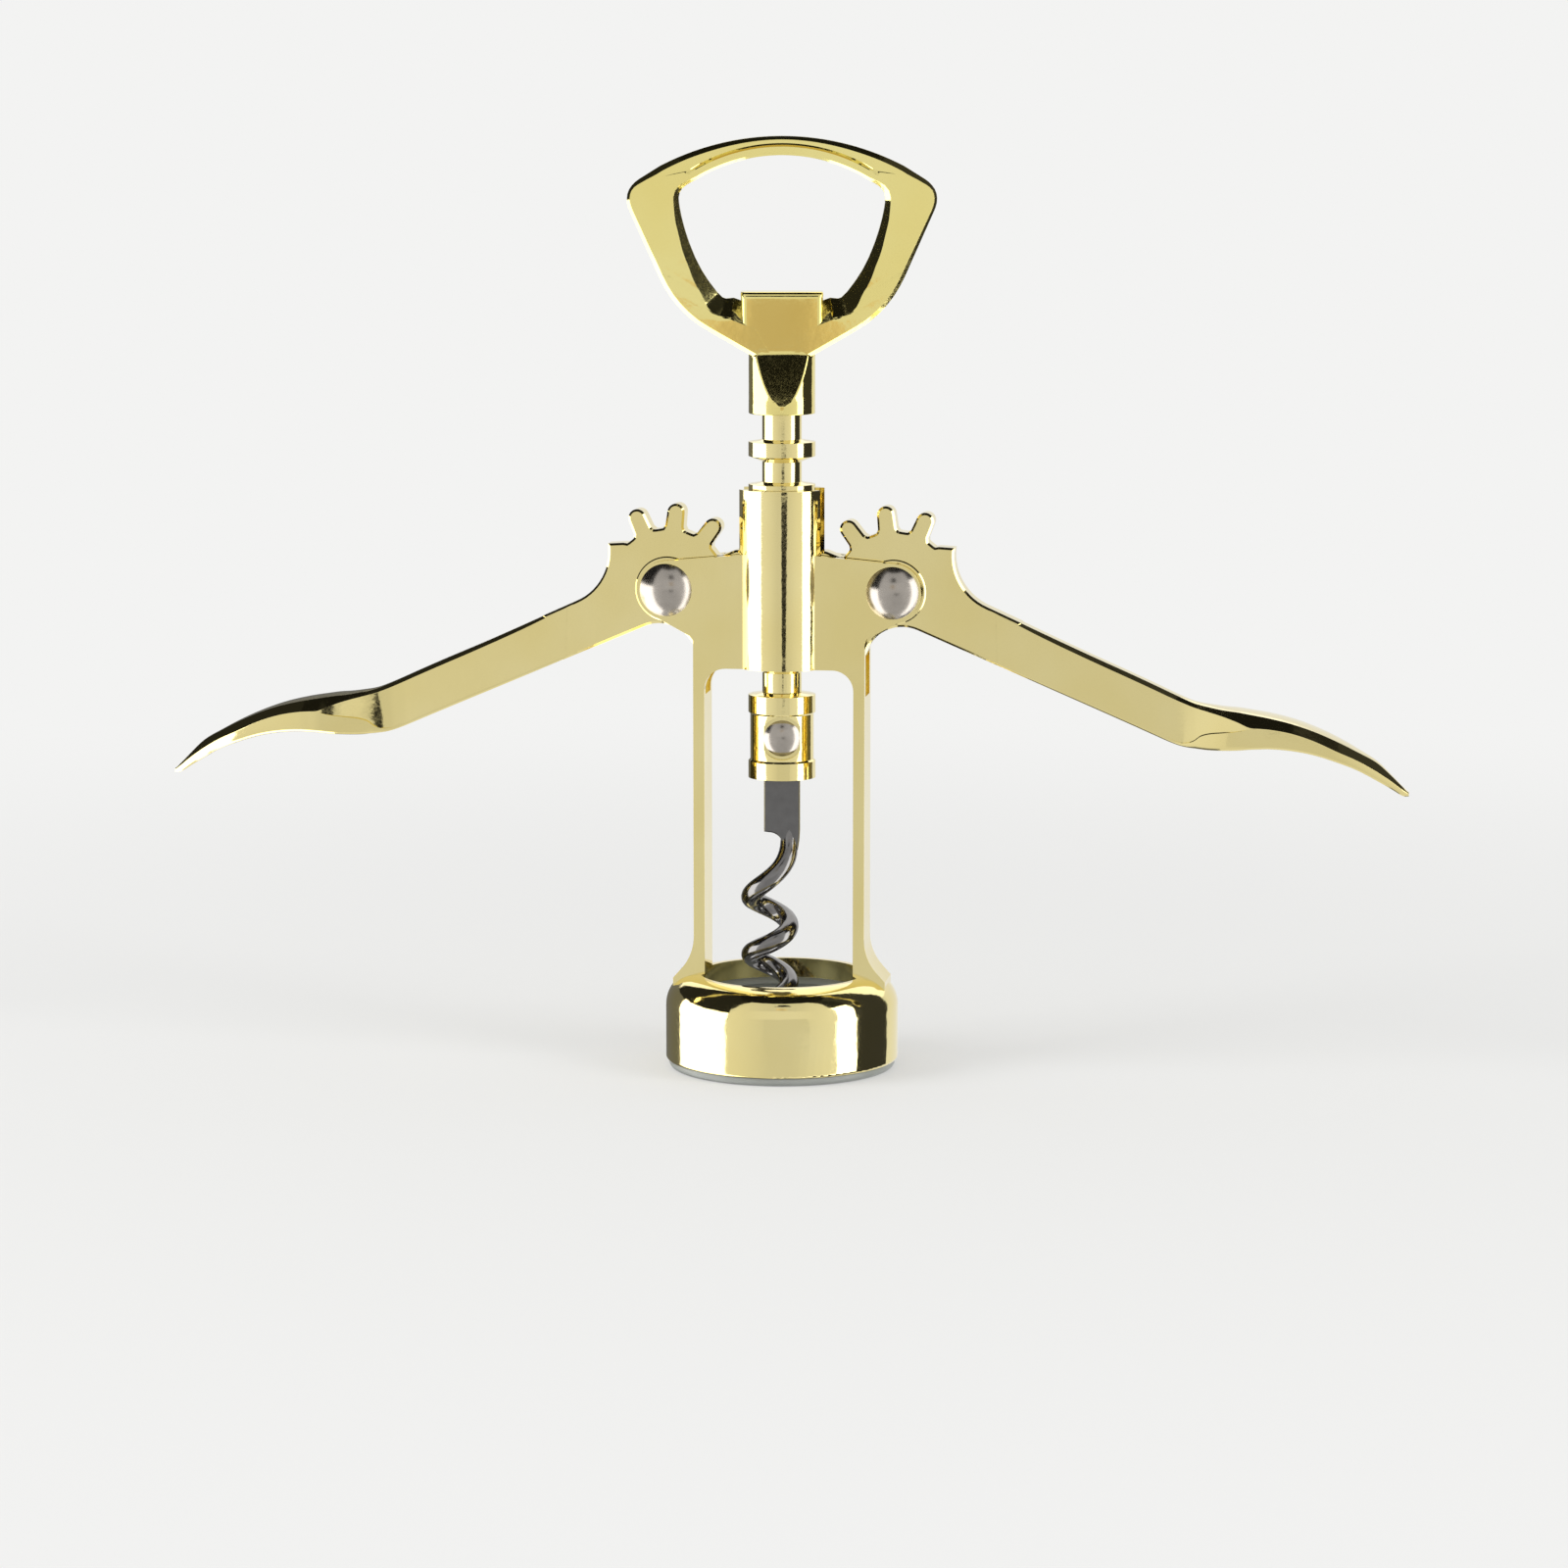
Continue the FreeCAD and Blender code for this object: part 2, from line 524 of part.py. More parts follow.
def opening_outline():
    """The inner edge of the ring, with the cap-lifting tongue and a notch on either side of it."""
    z0 = SOCKET_BOTTOM
    pad = at(PAD_HALF_WIDTH, z0 + PAD_TOP_HEIGHT)
    notch_in = at(pad.x + NOTCH_WALL_RUN, pad.z - NOTCH_WALL_DROP)
    notch_out = at(pad.x + NOTCH_WIDTH, pad.z - NOTCH_DEPTH)
    upper = at(OPENING_HALF_WIDTH, z0 + OPENING_WIDEST_HEIGHT)
    bow = (notch_out + upper) / 2 + at(OPENING_SIDE_OUT, -OPENING_SIDE_DOWN)
    top = at(0, z0 + HANDLE_TOP - HANDLE_TOP_BAND)
    brow = at(upper.x - OPENING_CORNER_IN, upper.z + OPENING_CORNER_RISE)
    brow_middle = (upper + brow) / 2 + at(OPENING_CORNER_BULGE, OPENING_CORNER_BULGE / 2)
    return [
        (pad, None, notch_in),
        (notch_in, None, notch_out),
        (notch_out, bow, upper),
        (upper, brow_middle, brow),
        (brow, top, at(-brow.x, brow.z)),
    ]


def both_sides(runs):
    """A closed wire from one side's runs, of which the last already spans both sides."""
    edges = []
    flip = [(at(-b.x, b.z), m and at(-m.x, m.z), at(-a.x, a.z)) for a, m, b in runs[:-1]]
    for first, middle, last in runs + flip[::-1]:
        if middle is None:
            edges.append(Part.LineSegment(first, last).toShape())
        else:
            edges.append(Part.Arc(first, middle, last).toShape())
    edges.append(Part.LineSegment(at(-runs[0][0].x, runs[0][0].z), runs[0][0]).toShape())
    return Part.Wire(edges)


def round_upright(ring, height, radius):
    """Rounds the two corners of the ring's outline that lie at a height above the socket's end."""
    corners = [
        edge for edge in ring.Edges
        if all(abs(v.Z - SOCKET_BOTTOM - height) < SAME_PLACE for v in edge.Vertexes)
        and abs(edge.tangentAt(edge.FirstParameter).y) > 0.99
    ]
    return ring.makeFillet(radius, corners)


def handle():
    """The ring-shaped handle and cap lifter, with the socket that it turns on."""
    ring = slab(both_sides(handle_outline()), HANDLE_THICKNESS)
    ring = round_upright(ring, HANDLE_CORNER_HEIGHT, HANDLE_CORNER_RADIUS)
    ring = round_upright(ring, HANDLE_SHOULDER_HEIGHT, HANDLE_SHOULDER_RADIUS)
    rim = [
        edge for edge in ring.Edges
        if abs(abs(edge.CenterOfMass.y) - HANDLE_THICKNESS / 2) < SAME_PLACE
        and edge.CenterOfMass.z > SOCKET_BOTTOM + HANDLE_NECK_HEIGHT + CUT_OVERRUN
    ]
    ring = ring.makeChamfer(HANDLE_EDGE_BEVEL, rim)
    pad_top = SOCKET_BOTTOM + PAD_TOP_HEIGHT
    neck_z = SOCKET_BOTTOM + HANDLE_NECK_HEIGHT
    pad = slab(rounded_outline([
        (-PAD_HALF_WIDTH, pad_top, 0),
        (PAD_HALF_WIDTH, pad_top, 0),
        (SOCKET_RADIUS, neck_z, 0),
        (-SOCKET_RADIUS, neck_z, 0),
    ]), PAD_THICKNESS)
    socket = rod(SOCKET_RADIUS, SOCKET_BOTTOM, pad_top - SOCKET_TOP_BELOW_PAD)
    half_pad = PAD_THICKNESS / 2
    facet_z = SOCKET_BOTTOM + FACET_START
    wedge = Part.Wire(Part.makePolygon([
        Vector(0, -SOCKET_RADIUS, facet_z),
        Vector(0, -half_pad, neck_z),
        Vector(0, -half_pad, pad_top),
        Vector(0, -2 * SOCKET_RADIUS, pad_top),
        Vector(0, -2 * SOCKET_RADIUS, facet_z),
        Vector(0, -SOCKET_RADIUS, facet_z),
    ]))
    trim = Part.Face(wedge).extrude(Vector(2 * SOCKET_RADIUS, 0, 0))
    trim.translate(Vector(-SOCKET_RADIUS, 0, 0))
    back_trim = trim.mirror(ORIGIN, ALONG_Y)
    socket = socket.cut([trim, back_trim])
    opening = slab(both_sides(opening_outline()), PAD_THICKNESS + CUT_OVERRUN)
    bore_top = SOCKET_BOTTOM + UPPER_JOURNAL_LENGTH + SOCKET_BORE_CLEARANCE_DEPTH
    bore = rod(JOURNAL_RADIUS + TURNING_CLEARANCE, SOCKET_BOTTOM - CUT_OVERRUN, bore_top)
    body = ring.fuse([pad, socket]).cut([opening, bore]).removeSplitter()
    return place_screw(body)


def polar(radius, angle_deg):
    """A point of the lever's outline by distance and angle from the pivot."""
    angle = math.radians(angle_deg)
    return at(radius * math.cos(angle), radius * math.sin(angle))


def hollow(tip, foot_x, foot_z, side):
    """The middle point of an arc from a nub's tip that runs out flat along the arm's edge."""
    across = foot_x - tip.x
    rise = abs(tip.z - foot_z)
    radius = (across * across + rise * rise) / (2 * rise)
    centre = at(foot_x, foot_z + side * radius)
    start = math.atan2(tip.z - centre.z, tip.x - centre.x)
    finish = -side * math.pi / 2
    if side > 0 and start > 0:
        start -= 2 * math.pi
    if side < 0 and start < 0:
        start += 2 * math.pi
    middle = (start + finish) / 2
    return at(centre.x + radius * math.cos(middle), centre.z + radius * math.sin(middle))


def lever_body():
    """The flat part of a lever: arm, round back, hollows behind the gear and the two end nubs."""
    upper_nub_deg = FIRST_TOOTH_DEG - TOOTH_STEP_DEG
    lower_nub_deg = FIRST_TOOTH_DEG + TOOTH_COUNT * TOOTH_STEP_DEG
    upper_tip = polar(UPPER_NUB_RADIUS, upper_nub_deg)
    lower_tip = polar(LOWER_NUB_RADIUS, lower_nub_deg)
    upper_root = polar(GEAR_ROOT_RADIUS, upper_nub_deg + NUB_BACK_DEG)
    lower_root = polar(GEAR_ROOT_RADIUS, lower_nub_deg - NUB_BACK_DEG)
    taper = (ARM_ROOT_HALF_WIDTH - ARM_END_HALF_WIDTH) / ARM_LENGTH
    upper_foot = at(UPPER_SWEEP_END, ARM_ROOT_HALF_WIDTH - taper * UPPER_SWEEP_END)
    lower_foot = at(LOWER_SWEEP_END, -ARM_ROOT_HALF_WIDTH + taper * LOWER_SWEEP_END)
    upper_end = at(ARM_LENGTH, ARM_END_HALF_WIDTH)
    lower_end = at(ARM_LENGTH, -ARM_END_HALF_WIDTH)
    back = polar(GEAR_ROOT_RADIUS, (upper_nub_deg + lower_nub_deg) / 2)
    edges = [
        Part.Arc(lower_root, back, upper_root),
        Part.LineSegment(upper_root, upper_tip),
        Part.Arc(upper_tip, hollow(upper_tip, upper_foot.x, upper_foot.z, 1), upper_foot),
        Part.LineSegment(upper_foot, upper_end),
        Part.LineSegment(upper_end, lower_end),
        Part.LineSegment(lower_end, lower_foot),
        Part.Arc(lower_foot, hollow(lower_tip, lower_foot.x, lower_foot.z, -1), lower_tip),
        Part.LineSegment(lower_tip, lower_root),
    ]
    return slab(Part.Wire([edge.toShape() for edge in edges]), LEVER_THICKNESS)


def gear_teeth():
    """The finger-like teeth, which reach into the gaps between the rings."""
    half = LEVER_THICKNESS / 2
    tip_x = GEAR_TIP_RADIUS - TOOTH_WIDTH / 2
    foot_x = GEAR_ROOT_RADIUS - TOOTH_WIDTH
    finger = block(foot_x, tip_x, -half, half, -TOOTH_WIDTH / 2, TOOTH_WIDTH / 2)
    finger = finger.fuse(cross_pin(TOOTH_WIDTH / 2, -half, half, tip_x, 0))
    teeth = []
    for index in range(TOOTH_COUNT):
        tooth = finger.copy()
        angle = FIRST_TOOTH_DEG + index * TOOTH_STEP_DEG
        tooth.rotate(ORIGIN, ALONG_Y, -angle)
        teeth.append(tooth)
    return teeth


def paddle_section(x, middle, half_height, half_width):
    """One cross-section of the thumb rest, a rounded oblong square to the arm."""
    points = []
    for i in range(PADDLE_SECTION_POINTS):
        angle = 2 * math.pi * (i + 0.5) / PADDLE_SECTION_POINTS
        across = math.copysign(math.sqrt(abs(math.cos(angle))), math.cos(angle))
        rise = math.copysign(math.sqrt(abs(math.sin(angle))), math.sin(angle))
        points.append(Vector(x, half_width * across, middle + half_height * rise))
    curve = Part.BSplineCurve()
    curve.interpolate(points, PeriodicFlag=True)
    return Part.Wire(curve.toShape())


def paddle():
    """The thumb rest: the arm turns flat, broadens, bows up and runs out in a thin tip."""
    root = paddle_section(
        ARM_LENGTH - PADDLE_ROOT_OVERLAP, 0, ARM_END_HALF_WIDTH, LEVER_THICKNESS / 2)
    # along the rest, then height of its middle, thickness and width, as shares of the full sizes
    stations = [
        (0.08, 0.00, 1.55, 0.36),
        (0.18, 0.14, 1.48, 0.60),
        (0.29, 0.40, 1.24, 0.85),
        (0.41, 0.73, 1.00, 0.98),
        (0.54, 0.95, 0.80, 1.00),
        (0.67, 1.00, 0.60, 0.90),
        (0.80, 0.98, 0.42, 0.70),
        (0.90, 0.91, 0.26, 0.46),
        (0.96, 0.82, 0.16, 0.24),
        (1.00, 0.74, 0.09, 0.08),
    ]
    sections = [root]
    for along, rise, thick, wide in stations:
        sections.append(paddle_section(
            ARM_LENGTH + along * PADDLE_LENGTH,
            rise * PADDLE_RISE,
            thick * PADDLE_THICKNESS / 2,
            wide * PADDLE_WIDTH / 2,
        ))
    return Part.makeLoft(sections, True, False)


def lever_right():
    """The right lever, built along +X about its pivot and then dropped to where it stands."""
    boss_half = SLOT_WIDTH / 2 - BOSS_CLEARANCE
    boss = cross_pin(BOSS_RADIUS, -boss_half, boss_half, 0, 0)
    bore_radius = RIVET_SHANK_RADIUS + PIVOT_RUNNING_CLEARANCE
    bore = cross_pin(bore_radius, -SLOT_WIDTH, SLOT_WIDTH, 0, 0)
    body = lever_body().fuse([*gear_teeth(), boss, paddle()]).cut(bore).removeSplitter()
    body.rotate(ORIGIN, ALONG_Y, ARM_DROP_DEG)
    body.translate(at(PIVOT_OFFSET, PIVOT_HEIGHT))
    return body


def lever_left():
    """The left lever, the right one's mirror image."""
    return mirrored(lever_right())


NODES = {
    "frame": frame,
    "bell_insert": bell_insert,
    "pivot_rivets": pivot_rivets,
    "lever_left": lever_left,
    "lever_right": lever_right,
    "spindle": spindle,
    "worm_holder": worm_holder,
    "worm_rivet": worm_rivet,
    "worm": worm,
    "handle": handle,
}

os.makedirs("parts", exist_ok=True)
for name, build in NODES.items():
    shape = build()
    box = shape.BoundBox
    print(f"{name}: {len(shape.Solids)} solid(s), valid {shape.isValid()}, volume {shape.Volume:.1f},"
          f" z {box.ZMin:.2f} to {box.ZMax:.2f}, x {box.XMin:.2f} to {box.XMax:.2f}")
    shape.exportStep(f"parts/{name}.step")
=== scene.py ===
"""Wing corkscrew in gold-plated zinc: its pieces in the order of putting together, then the studio."""
import math

import bmesh
import bpy
from mathutils import Matrix, Vector


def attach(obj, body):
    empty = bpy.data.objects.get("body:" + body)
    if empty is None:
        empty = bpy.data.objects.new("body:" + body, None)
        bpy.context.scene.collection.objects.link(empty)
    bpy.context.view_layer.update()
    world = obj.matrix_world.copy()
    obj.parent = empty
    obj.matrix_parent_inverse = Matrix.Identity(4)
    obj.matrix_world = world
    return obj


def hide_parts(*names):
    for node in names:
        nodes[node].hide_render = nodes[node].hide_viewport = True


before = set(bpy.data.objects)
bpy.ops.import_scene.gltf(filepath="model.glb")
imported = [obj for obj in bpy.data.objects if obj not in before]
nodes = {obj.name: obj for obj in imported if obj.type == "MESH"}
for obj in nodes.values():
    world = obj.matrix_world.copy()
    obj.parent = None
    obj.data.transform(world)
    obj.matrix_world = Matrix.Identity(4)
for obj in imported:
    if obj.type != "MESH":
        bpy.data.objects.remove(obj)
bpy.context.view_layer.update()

scene = bpy.context.scene

# --- the frame casting --------------------------------------------------------------------------
# Bell, two legs, four cheeks and the hub are one zinc die casting, polished and then plated.
# The plating is a bright pale gold that mirrors what stands around it.

MM = 0.001
# Points of a CAD mesh nearer than this, in metres, are welded to one
WELD_REACH = 1e-6


def linear(code):
    """An sRGB hex colour as linear RGBA."""
    parts = [int(code[i:i + 2], 16) / 255 for i in (1, 3, 5)]
    return [c / 12.92 if c <= 0.04045 else ((c + 0.055) / 1.055) ** 2.4 for c in parts] + [1.0]


def add(tree, kind, settings, **links):
    """A node of that kind with its settings, and its inputs set or linked by name, or by number as i0, i1."""
    node = tree.nodes.new(kind)
    for key, value in settings.items():
        setattr(node, key, value)
    for key, value in links.items():
        name = key.replace("_", " ")
        socket = next((s for s in node.inputs if s.name == name and s.enabled), None)
        if socket is None:
            socket = node.inputs[int(key[1:])]
        if isinstance(value, bpy.types.NodeSocket):
            tree.links.new(value, socket)
        else:
            socket.default_value = value
    return node


def material(name):
    """An empty node material and its tree."""
    made = bpy.data.materials.new(name)
    made.use_nodes = True
    made.node_tree.nodes.clear()
    return made, made.node_tree


def spaced(size):
    """The scale of a pattern whose marks are that many millimetres apart."""
    return 1 / (size * MM)


# Gold plated over polished zinc: the eye gets a pale yellow mirror, a little wavy from the orange peel that
# tumbling leaves, with slow clouds in its colour. The polish's own grain is finer, and is drawn coarser here.
# All three spacings are in millimetres.
PEEL, GRAIN, CLOUD = 2.38, 0.385, 16.7
gilt, tree = material("gold_plated_zinc")
place = add(tree, "ShaderNodeTexCoord", {})
peel = add(tree, "ShaderNodeTexNoise", {}, Vector=place.outputs["Object"], Scale=spaced(PEEL), Detail=3.0)
grain = add(tree, "ShaderNodeTexNoise", {}, Vector=place.outputs["Object"], Scale=spaced(GRAIN), Detail=2.0)
cloud = add(tree, "ShaderNodeTexNoise", {}, Vector=place.outputs["Object"], Scale=spaced(CLOUD), Detail=2.0)
tone = add(tree, "ShaderNodeValToRGB", {}, Fac=cloud.outputs["Fac"])
tone.color_ramp.elements[0].position = 0.35
tone.color_ramp.elements[0].color = linear("#f1e09a")
tone.color_ramp.elements[1].position = 0.65
tone.color_ramp.elements[1].color = linear("#f5e6a6")
rough = add(
    tree, "ShaderNodeMapRange", {}, Value=grain.outputs["Fac"],
    From_Min=0.3, From_Max=0.7, To_Min=0.05, To_Max=0.11)
swell = add(tree, "ShaderNodeBump", {}, Strength=0.12, Distance=0.2 * MM, Height=peel.outputs["Fac"])
gold = add(
    tree, "ShaderNodeBsdfPrincipled", {},
    Base_Color=tone.outputs["Color"], Metallic=1.0, Roughness=rough.outputs["Result"],
    Normal=swell.outputs["Normal"])
add(tree, "ShaderNodeOutputMaterial", {}, Surface=gold.outputs[0])


def soften(piece, width, angle, segments=3):
    """Rounds edges sharper than an angle by a width in millimetres; one segment makes a crisp chamfer."""
    edge = piece.modifiers.new("edge", "BEVEL")
    edge.width = width * MM
    edge.segments = segments
    edge.limit_method = "ANGLE"
    edge.angle_limit = math.radians(angle)
    edge.miter_outer = "MITER_ARC"
    edge.mark_sharp = segments == 1
    level = piece.modifiers.new("level", "WEIGHTED_NORMAL")
    level.mode = "FACE_AREA_WITH_ANGLE"
    level.weight = 50
    level.keep_sharp = True


casting = nodes["frame"]
casting.data.materials[0] = gilt
casting.modifiers.new("weld", "WELD").merge_threshold = WELD_REACH
soften(casting, width=0.3, angle=32, segments=1)

# --- the plastic insert -------------------------------------------------------------------------
# A ring-shaped lining with a ledge, which keeps the casting off the bottle's glass.
# It is moulded from grey polyethylene and glued into the bell from below.

# Moulded polyethylene: the eye gets a dull mid grey, a little uneven in tone and skin as it left the mould,
# with this spacing in millimetres.
HAZE = 3.33
plastic, tree = material("moulded_polyethylene")
place = add(tree, "ShaderNodeTexCoord", {})
haze = add(tree, "ShaderNodeTexNoise", {}, Vector=place.outputs["Object"], Scale=spaced(HAZE), Detail=4.0)
grey = add(tree, "ShaderNodeValToRGB", {}, Fac=haze.outputs["Fac"])
grey.color_ramp.elements[0].color = linear("#878a86")
grey.color_ramp.elements[1].color = linear("#9b9e99")
skin = add(tree, "ShaderNodeBump", {}, Strength=0.2, Distance=0.1 * MM, Height=haze.outputs["Fac"])
moulded = add(
    tree, "ShaderNodeBsdfPrincipled", {},
    Base_Color=grey.outputs["Color"], Roughness=0.42, IOR=1.51, Normal=skin.outputs["Normal"])
add(tree, "ShaderNodeOutputMaterial", {}, Surface=moulded.outputs[0])
nodes["bell_insert"].data.materials[0] = plastic

# --- the levers ---------------------------------------------------------------------------------
# Each lever is one zinc casting: six finger-like teeth, a flat arm and a crowned, leaf-shaped thumb rest.
# The arm's front face flares out to the rim of the thumb rest in a narrow triangle.

# Points of a new mesh nearer than this, in metres, are one
SAME_POINT = 1e-7
# The right lever's pivot in millimetres, and how far down the arm points
PIVOT = (18.2, 77.4)
DROP = math.radians(23.7)
# Around the pivot, with the arm level: the gear's root circle, the eased corners of its hollows in
# millimetres and degrees, its fingers, and the angles where its first hollow starts and its last one ends
ROOT, EASE_LIFT, EASE_REACH = 9.65, 0.55, 3.2
FINGERS, FIRST_FINGER, FINGER_STEP = 6, 90, 30
FINGER_END, FINGER_HALF = 12.3, 1.4
HOLLOWS_START, HOLLOWS_END = 69.0, 261.0
# The nubs over and under the arm by distance and angle, and the places where they run out along its edges
UPPER_NUB, UPPER_FOOT = (12.0, 60), (14.5, 3.95)
LOWER_NUB, LOWER_FOOT = (11.4, 270), (6.0, -4.04)
# Where the flat plate of gear and arm ends inside the rest's skin, its half height there, the boss's radius
ARM_END, ARM_HALF = 20.5, 3.89
BOSS = 5.2


def finish_mesh(name, mesh, coat, sharp):
    """Makes a coated piece of a mesh: double points joined, faces outward, smooth but at its edges."""
    shell = bmesh.new()
    shell.from_mesh(mesh)
    bmesh.ops.remove_doubles(shell, verts=shell.verts, dist=SAME_POINT)
    bmesh.ops.recalc_face_normals(shell, faces=shell.faces)
    shell.to_mesh(mesh)
    shell.free()
    mesh.materials.clear()
    mesh.materials.append(coat)
    mesh.shade_smooth()
    if sharp:
        mesh.set_sharp_from_angle(angle=math.radians(sharp))
    made = bpy.data.objects.new(name, mesh)
    scene.collection.objects.link(made)
    return made


def loft(name, rings):
    """A closed skin over rings in millimetres that all have as many points."""
    count = len(rings[0])
    points = [(x * MM, y * MM, z * MM) for ring in rings for x, y, z in ring]
    faces = []
    for j in range(len(rings) - 1):
        for i in range(count):
            k = (i + 1) % count
            faces.append((j * count + i, j * count + k, (j + 1) * count + k, (j + 1) * count + i))
    faces.append(tuple(range(count))[::-1])
    faces.append(tuple((len(rings) - 1) * count + i for i in range(count)))
    mesh = bpy.data.meshes.new(name)
    mesh.from_pydata(points, [], faces)
    return finish_mesh(name, mesh, gilt, sharp=24)


def polar(radius, degrees):
    """A point of the lever's outline by distance and angle from its pivot."""
    return (radius * math.cos(math.radians(degrees)), radius * math.sin(math.radians(degrees)))


def bow(centre, radius, first, last, steps):
    """Points of a circle between two angles in degrees."""
    return [
        (centre[0] + radius * math.cos(math.radians(first + (last - first) * i / steps)),
         centre[1] + radius * math.sin(math.radians(first + (last - first) * i / steps)))
        for i in range(steps + 1)]


def arc_to(first, foot, side, steps=14):
    """Points of an arc from a nub's tip that runs out flat along the arm's edge."""
    across, rise = foot[0] - first[0], abs(first[1] - foot[1])
    radius = (across * across + rise * rise) / (2 * rise)
    centre = (foot[0], foot[1] + side * radius)
    start = math.degrees(math.atan2(first[1] - centre[1], first[0] - centre[0]))
    if side * start > 0:
        start -= side * 360
    return bow(centre, radius, start, -side * 90, steps)


def gullet(low, high, steps=6):
    """The hollow between two fingers: along the root circle with its corners eased."""
    points = []
    for i in range(steps + 1):
        angle = low + (high - low) * i / steps
        near = min(angle - low, high - angle)
        points.append(polar(ROOT + EASE_LIFT * max(0.0, 1 - near / EASE_REACH) ** 2, angle))
    return points


finger_foot = math.degrees(math.asin(FINGER_HALF / ROOT))
arm_rim = [(ARM_END, ARM_HALF)] + arc_to(polar(*UPPER_NUB), UPPER_FOOT, 1)[::-1]
last = HOLLOWS_START
for finger in range(FINGERS):
    angle = FIRST_FINGER + FINGER_STEP * finger
    arm_rim += gullet(last, angle - finger_foot)
    arm_rim += bow(polar(FINGER_END, angle), FINGER_HALF, angle - 90, angle + 90, 12)
    last = angle + finger_foot
arm_rim += gullet(last, HOLLOWS_END)
arm_rim += arc_to(polar(*LOWER_NUB), LOWER_FOOT, -1)
arm_rim.append((ARM_END, -ARM_HALF))
boss_rim = bow((0, 0), BOSS, 0, 360, 64)[:-1]


def plate(name, rim, half, edge):
    """An upright flat plate from its front outline in millimetres, with chamfered edges."""
    curve = bpy.data.curves.new(name, "CURVE")
    curve.dimensions = "2D"
    curve.fill_mode = "BOTH"
    curve.extrude = (half - edge) * MM
    curve.bevel_depth = edge * MM
    curve.bevel_resolution = 0
    curve.offset = -edge * MM
    line = curve.splines.new("POLY")
    line.points.add(len(rim) - 1)
    for point, (x, z) in zip(line.points, rim):
        point.co = (x * MM, z * MM, 0, 1)
    line.use_cyclic_u = True
    holder = bpy.data.objects.new(name, curve)
    mesh = bpy.data.meshes.new_from_object(holder)
    mesh.transform(Matrix.Rotation(math.pi / 2, 4, "X"))
    bpy.data.objects.remove(holder)
    made = finish_mesh(name, mesh, gilt, sharp=30)
    level = made.modifiers.new("level", "WEIGHTED_NORMAL")
    level.keep_sharp = True
    level.weight = 90
    return made


# Upright sections of the arm and the thumb rest: x, half width, bottom, crease above the side wall, how far
# the flare stands back from it, half width and height of the rim, the same where the flank ends, the ridge
RESTS = [
    (33.0, 1.99, 66.70, 67.10, 0.0, 1.99, 74.80, 1.69, 75.10, 75.10),
    (36.0, 2.01, 65.36, 65.96, 0.0, 2.01, 73.40, 1.55, 73.82, 73.82),
    (42.0, 2.01, 62.76, 63.56, 0.0, 2.01, 70.42, 1.35, 71.06, 71.06),
    (50.0, 2.01, 59.35, 60.25, 0.0, 2.01, 66.76, 1.28, 67.46, 67.46),
    (56.0, 2.01, 56.78, 57.68, 0.0, 2.01, 64.12, 1.26, 64.84, 64.84),
    (60.0, 2.01, 55.05, 55.90, 0.0, 2.01, 62.33, 1.26, 63.04, 63.04),
    (62.0, 2.02, 54.22, 54.90, 0.0, 2.01, 61.42, 1.28, 62.12, 62.14),
    (64.0, 2.35, 53.58, 54.10, 0.18, 2.06, 60.56, 1.34, 61.22, 61.28),
    (66.0, 3.10, 53.28, 54.43, 0.42, 2.40, 59.82, 1.62, 60.40, 60.52),
    (67.2, 3.55, 53.18, 55.30, 0.50, 2.75, 59.50, 1.90, 60.10, 60.22),
    (68.4, 3.95, 53.12, 55.72, 0.50, 3.15, 59.20, 2.25, 59.88, 60.00),
    (70.7, 4.65, 53.16, 56.07, 0.42, 4.00, 58.62, 2.85, 59.50, 59.62),
    (73.1, 5.15, 53.30, 56.40, 0.22, 4.88, 57.85, 3.30, 59.25, 59.37),
    (75.0, 5.40, 53.50, 56.84, 0.0, 5.38, 57.10, 3.50, 58.95, 59.10),
    (76.5, 5.42, 53.58, 56.84, 0.0, 5.40, 56.98, 3.62, 58.71, 58.87),
    (78.0, 5.40, 53.64, 56.78, 0.0, 5.38, 56.88, 3.70, 58.44, 58.60),
    (81.5, 5.10, 53.38, 56.18, 0.0, 5.08, 56.26, 3.65, 57.62, 57.78),
    (85.0, 4.70, 52.72, 55.02, 0.0, 4.68, 55.10, 3.35, 56.44, 56.58),
    (88.7, 4.20, 51.55, 53.32, 0.0, 4.18, 53.40, 2.90, 54.82, 54.94),
    (92.0, 3.40, 50.20, 51.80, 0.0, 3.38, 51.88, 2.10, 53.08, 53.18),
    (95.0, 2.40, 48.50, 50.00, 0.0, 2.38, 50.08, 1.20, 51.32, 51.42),
    (97.5, 1.40, 47.00, 48.22, 0.0, 1.38, 48.30, 0.55, 49.00, 49.04),
    (99.2, 0.75, 46.00, 46.88, 0.0, 0.73, 46.95, 0.30, 47.30, 47.33),
    (100.0, 0.40, 45.95, 46.40, 0.0, 0.38, 46.45, 0.12, 46.60, 46.62),
]
# The corner under the rest: its radius, and the most that it takes of a slim section's half width and wall
CORNER, MOST_OF_HALF, MOST_OF_WALL = 0.8, 0.4, 0.6
# How far the underside is hollowed in the middle and halfway out, the half width from which it is so in full,
# the rise of the flare's ledge as a share of its width, and what keeps two points of a section apart
HOLLOW, HOLLOW_HALFWAY, FULL_HALF, LEDGE_RISE, APART = 0.25, 0.12, 4, 0.25, 0.002


